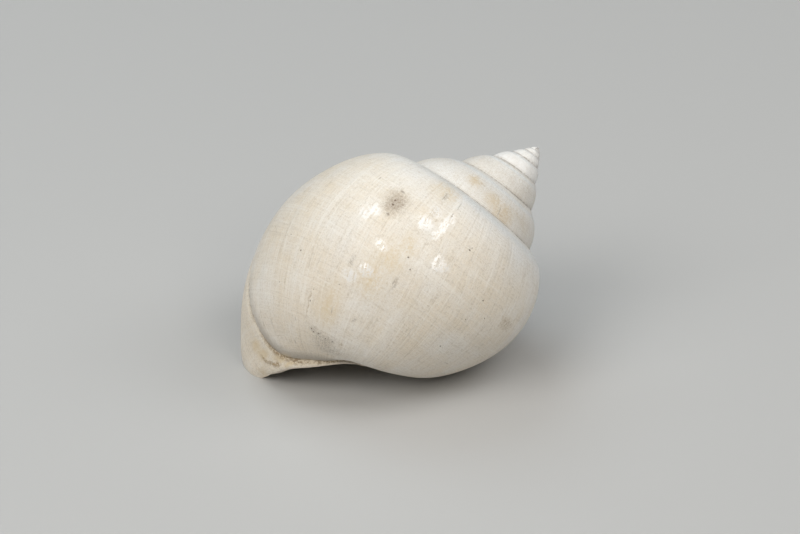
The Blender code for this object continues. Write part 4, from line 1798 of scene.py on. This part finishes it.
@dataclass(frozen=True)
class InsideFinish:
    """The inside of the mouth and the worn lip: smoother, glossier and warmer than the outside.

    Args:
        cream: Its colour.
        shade: The colour of its streaks.
        dirt: The colour of the dirt in it.
        dull: Its roughness.
    """

    cream: Colour = (0.66, 0.57, 0.45)
    shade: Colour = (0.50, 0.40, 0.29)
    dirt: Colour = (0.36, 0.26, 0.16)
    dull: float = 0.34

    def apply(self, material: bpy.types.Material) -> None:
        """Makes the finish.

        Args:
            material: The material that gets it.
        """
        bench = NodeBench(material)
        arc, side = bench.map(GROWTH_MAP)
        spot = bench.place()
        streak = bench.noise(bench.join(arc * 0.9, side * 0.07), 1.0, 4.0, 0.6)
        patch = bench.noise(spot, 0.3, 4.0, 0.6)
        grain = bench.noise(spot, 4.0, 3.0, 0.6)
        coat = Coat(bench, self.cream)
        coat.paint(streak.step(0.42, 0.72) * 0.5 + patch.step(0.5, 0.75) * 0.35, self.shade)
        dirt = (patch * 0.9 + grain * 0.35).step(0.74, 0.86)
        coat.paint(dirt * 0.5, self.dirt)
        roughness = self.dull + (patch - 0.5) * 0.25 + dirt * 0.25
        raised = (streak - 0.5) * 0.06 + (grain - 0.5) * 0.012 + dirt * 0.02
        bump = bench.node("ShaderNodeBump", {}, {"Strength": 1.0, "Distance": MM, "Height": raised})
        bench.surface(coat.colour, roughness, bump.outputs["Normal"], {"IOR": 1.5})


@dataclass(frozen=True)
class FloorFinish:
    """The plain pale floor.

    Args:
        colour: Its colour.
        dull: Its roughness.
    """

    colour: Colour = (0.47, 0.47, 0.465)
    dull: float = 0.6

    def apply(self, material: bpy.types.Material) -> None:
        """Makes the finish."""
        bench = NodeBench(material)
        grain = bench.noise(bench.place(), 1.2, 3.0, 0.6)
        bump = bench.node("ShaderNodeBump", {}, {"Strength": 0.2, "Distance": 0.02 * MM, "Height": grain})
        bench.surface(self.colour, self.dull, bump.outputs["Normal"], {})


# ---------------------------------------------------------------------------------------------------------
# The studio
# ---------------------------------------------------------------------------------------------------------


@dataclass(frozen=True)
class SoftLight:
    """A square soft light that looks at the shell.

    Args:
        name: Its name.
        azimuth: Its direction from the front, turning to the right, in degrees.
        elevation: Its height over the table, in degrees.
        distance: How far it is, in metres.
        side: Its size, in metres.
        power: In watts.
        colour: Its colour.
    """

    name: str
    azimuth: float
    elevation: float
    distance: float
    side: float
    power: float
    colour: Colour = (1.0, 1.0, 1.0)

    def build(self, target: Vector) -> None:
        """Adds the light."""
        azimuth, elevation = math.radians(self.azimuth), math.radians(self.elevation)
        level = math.cos(elevation)
        towards = Vector((math.sin(azimuth) * level, -math.cos(azimuth) * level, math.sin(elevation)))
        data = bpy.data.lights.new(self.name, "AREA")
        data.shape = "SQUARE"
        data.size = self.side
        data.energy = self.power
        data.color = self.colour
        light = bpy.data.objects.new(self.name, data)
        light.location = target + towards * self.distance
        light.rotation_euler = (-towards).to_track_quat("-Z", "Y").to_euler()
        bpy.context.scene.collection.objects.link(light)


@dataclass(frozen=True)
class Studio:
    """The floor, the lights and the camera.

    Args:
        floor_size: Side of the floor, in metres.
        target: What the lights look at, in metres.
        lights: The lights.
        sky: Strength of the even light from all round.
        sky_colour: Its colour.
        camera_at: Where the camera is, in millimetres.
        camera_down: How far down it looks, in degrees.
        camera_left: How far it is turned to the left, in degrees.
        lens: Focal length, in millimetres.
        sensor: Width of the sensor, in millimetres.
    """

    floor_size: float = 3.0
    target: tuple[float, float, float] = (0.0, 0.0, 0.014)
    lights: tuple[SoftLight, ...] = (
        SoftLight("key", 4.0, 60.0, 0.9, 1.1, 4.4, (1.0, 0.955, 0.885)),
        SoftLight("top", -108.0, 70.0, 0.9, 0.40, 0.9, (0.94, 0.98, 1.0)),
        SoftLight("upper", 62.0, 70.0, 0.9, 0.3, 0.5, (0.95, 0.98, 1.0)),
        SoftLight("front", 28.0, 37.0, 0.9, 0.24, 0.55, (1.0, 0.96, 0.9)),
        SoftLight("left", -50.0, 42.0, 0.9, 0.5, 3.6, (1.0, 0.975, 0.94)),
        SoftLight("right", 88.0, 46.0, 0.9, 0.5, 2.45, (0.98, 0.98, 0.98)),
        SoftLight("back", -150.0, 52.0, 0.9, 0.5, 2.0, (0.80, 0.92, 1.0)),
    )
    sky: float = 0.02
    sky_colour: Colour = (0.93, 0.96, 1.0)
    camera_at: tuple[float, float, float] = (-0.51, -378.7, 225.1)
    camera_down: float = 29.267
    camera_left: float = -0.263
    lens: float = 145.6
    sensor: float = 36.0

    def build(self) -> None:
        """Sets the studio up."""
        Workbench.clear()
        bpy.ops.mesh.primitive_plane_add(size=self.floor_size, location=(0.0, 0.0, 0.0))
        floor = bpy.context.object
        floor.name = "floor"
        floor.data.materials.append(bpy.data.materials.new("floor"))
        FloorFinish().apply(floor.data.materials[0])
        for light in self.lights:
            light.build(Vector(self.target))
        world = bpy.data.worlds.new("studio")
        world.use_nodes = True
        background = world.node_tree.nodes["Background"]
        background.inputs["Color"].default_value = (*self.sky_colour, 1.0)
        background.inputs["Strength"].default_value = self.sky
        bpy.context.scene.world = world
        bpy.context.scene.view_settings.view_transform = "Standard"
        self._camera()

    def _camera(self) -> None:
        """Adds the camera."""
        data = bpy.data.cameras.new("camera")
        data.lens = self.lens
        data.sensor_width = self.sensor
        data.clip_start = 0.01
        camera = bpy.data.objects.new("camera", data)
        camera.location = Vector(self.camera_at) * MM
        camera.rotation_euler = (math.radians(90.0 - self.camera_down), 0.0, math.radians(self.camera_left))
        bpy.context.scene.collection.objects.link(camera)
        bpy.context.scene.camera = camera


# ---------------------------------------------------------------------------------------------------------
# Putting it together
# ---------------------------------------------------------------------------------------------------------


def corners(box: Iterable[Iterable[float]]) -> list[list[float]]:
    """Gives a box's two corners as plain lists."""
    return [[float(value) for value in corner] for corner in box]


def main() -> None:
    """Builds the shell, dresses it and sets up the studio."""
    logging.basicConfig(level=logging.INFO, format="%(name)s: %(message)s")
    outline = Outline()
    relief = Relief(outline)
    shell = Shell(outline, relief, Lie()).build()
    OutsideFinish(outline, relief).apply(shell.data.materials[Finish.OUTSIDE])
    InsideFinish().apply(shell.data.materials[Finish.INSIDE])
    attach(shell, "root")
    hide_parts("shell")
    log.info("%s: %d faces, finished", shell.name, len(shell.data.polygons))
    Studio().build()
    log.info("studio: floor, lights and camera")


if __name__ == "__main__":
    main()
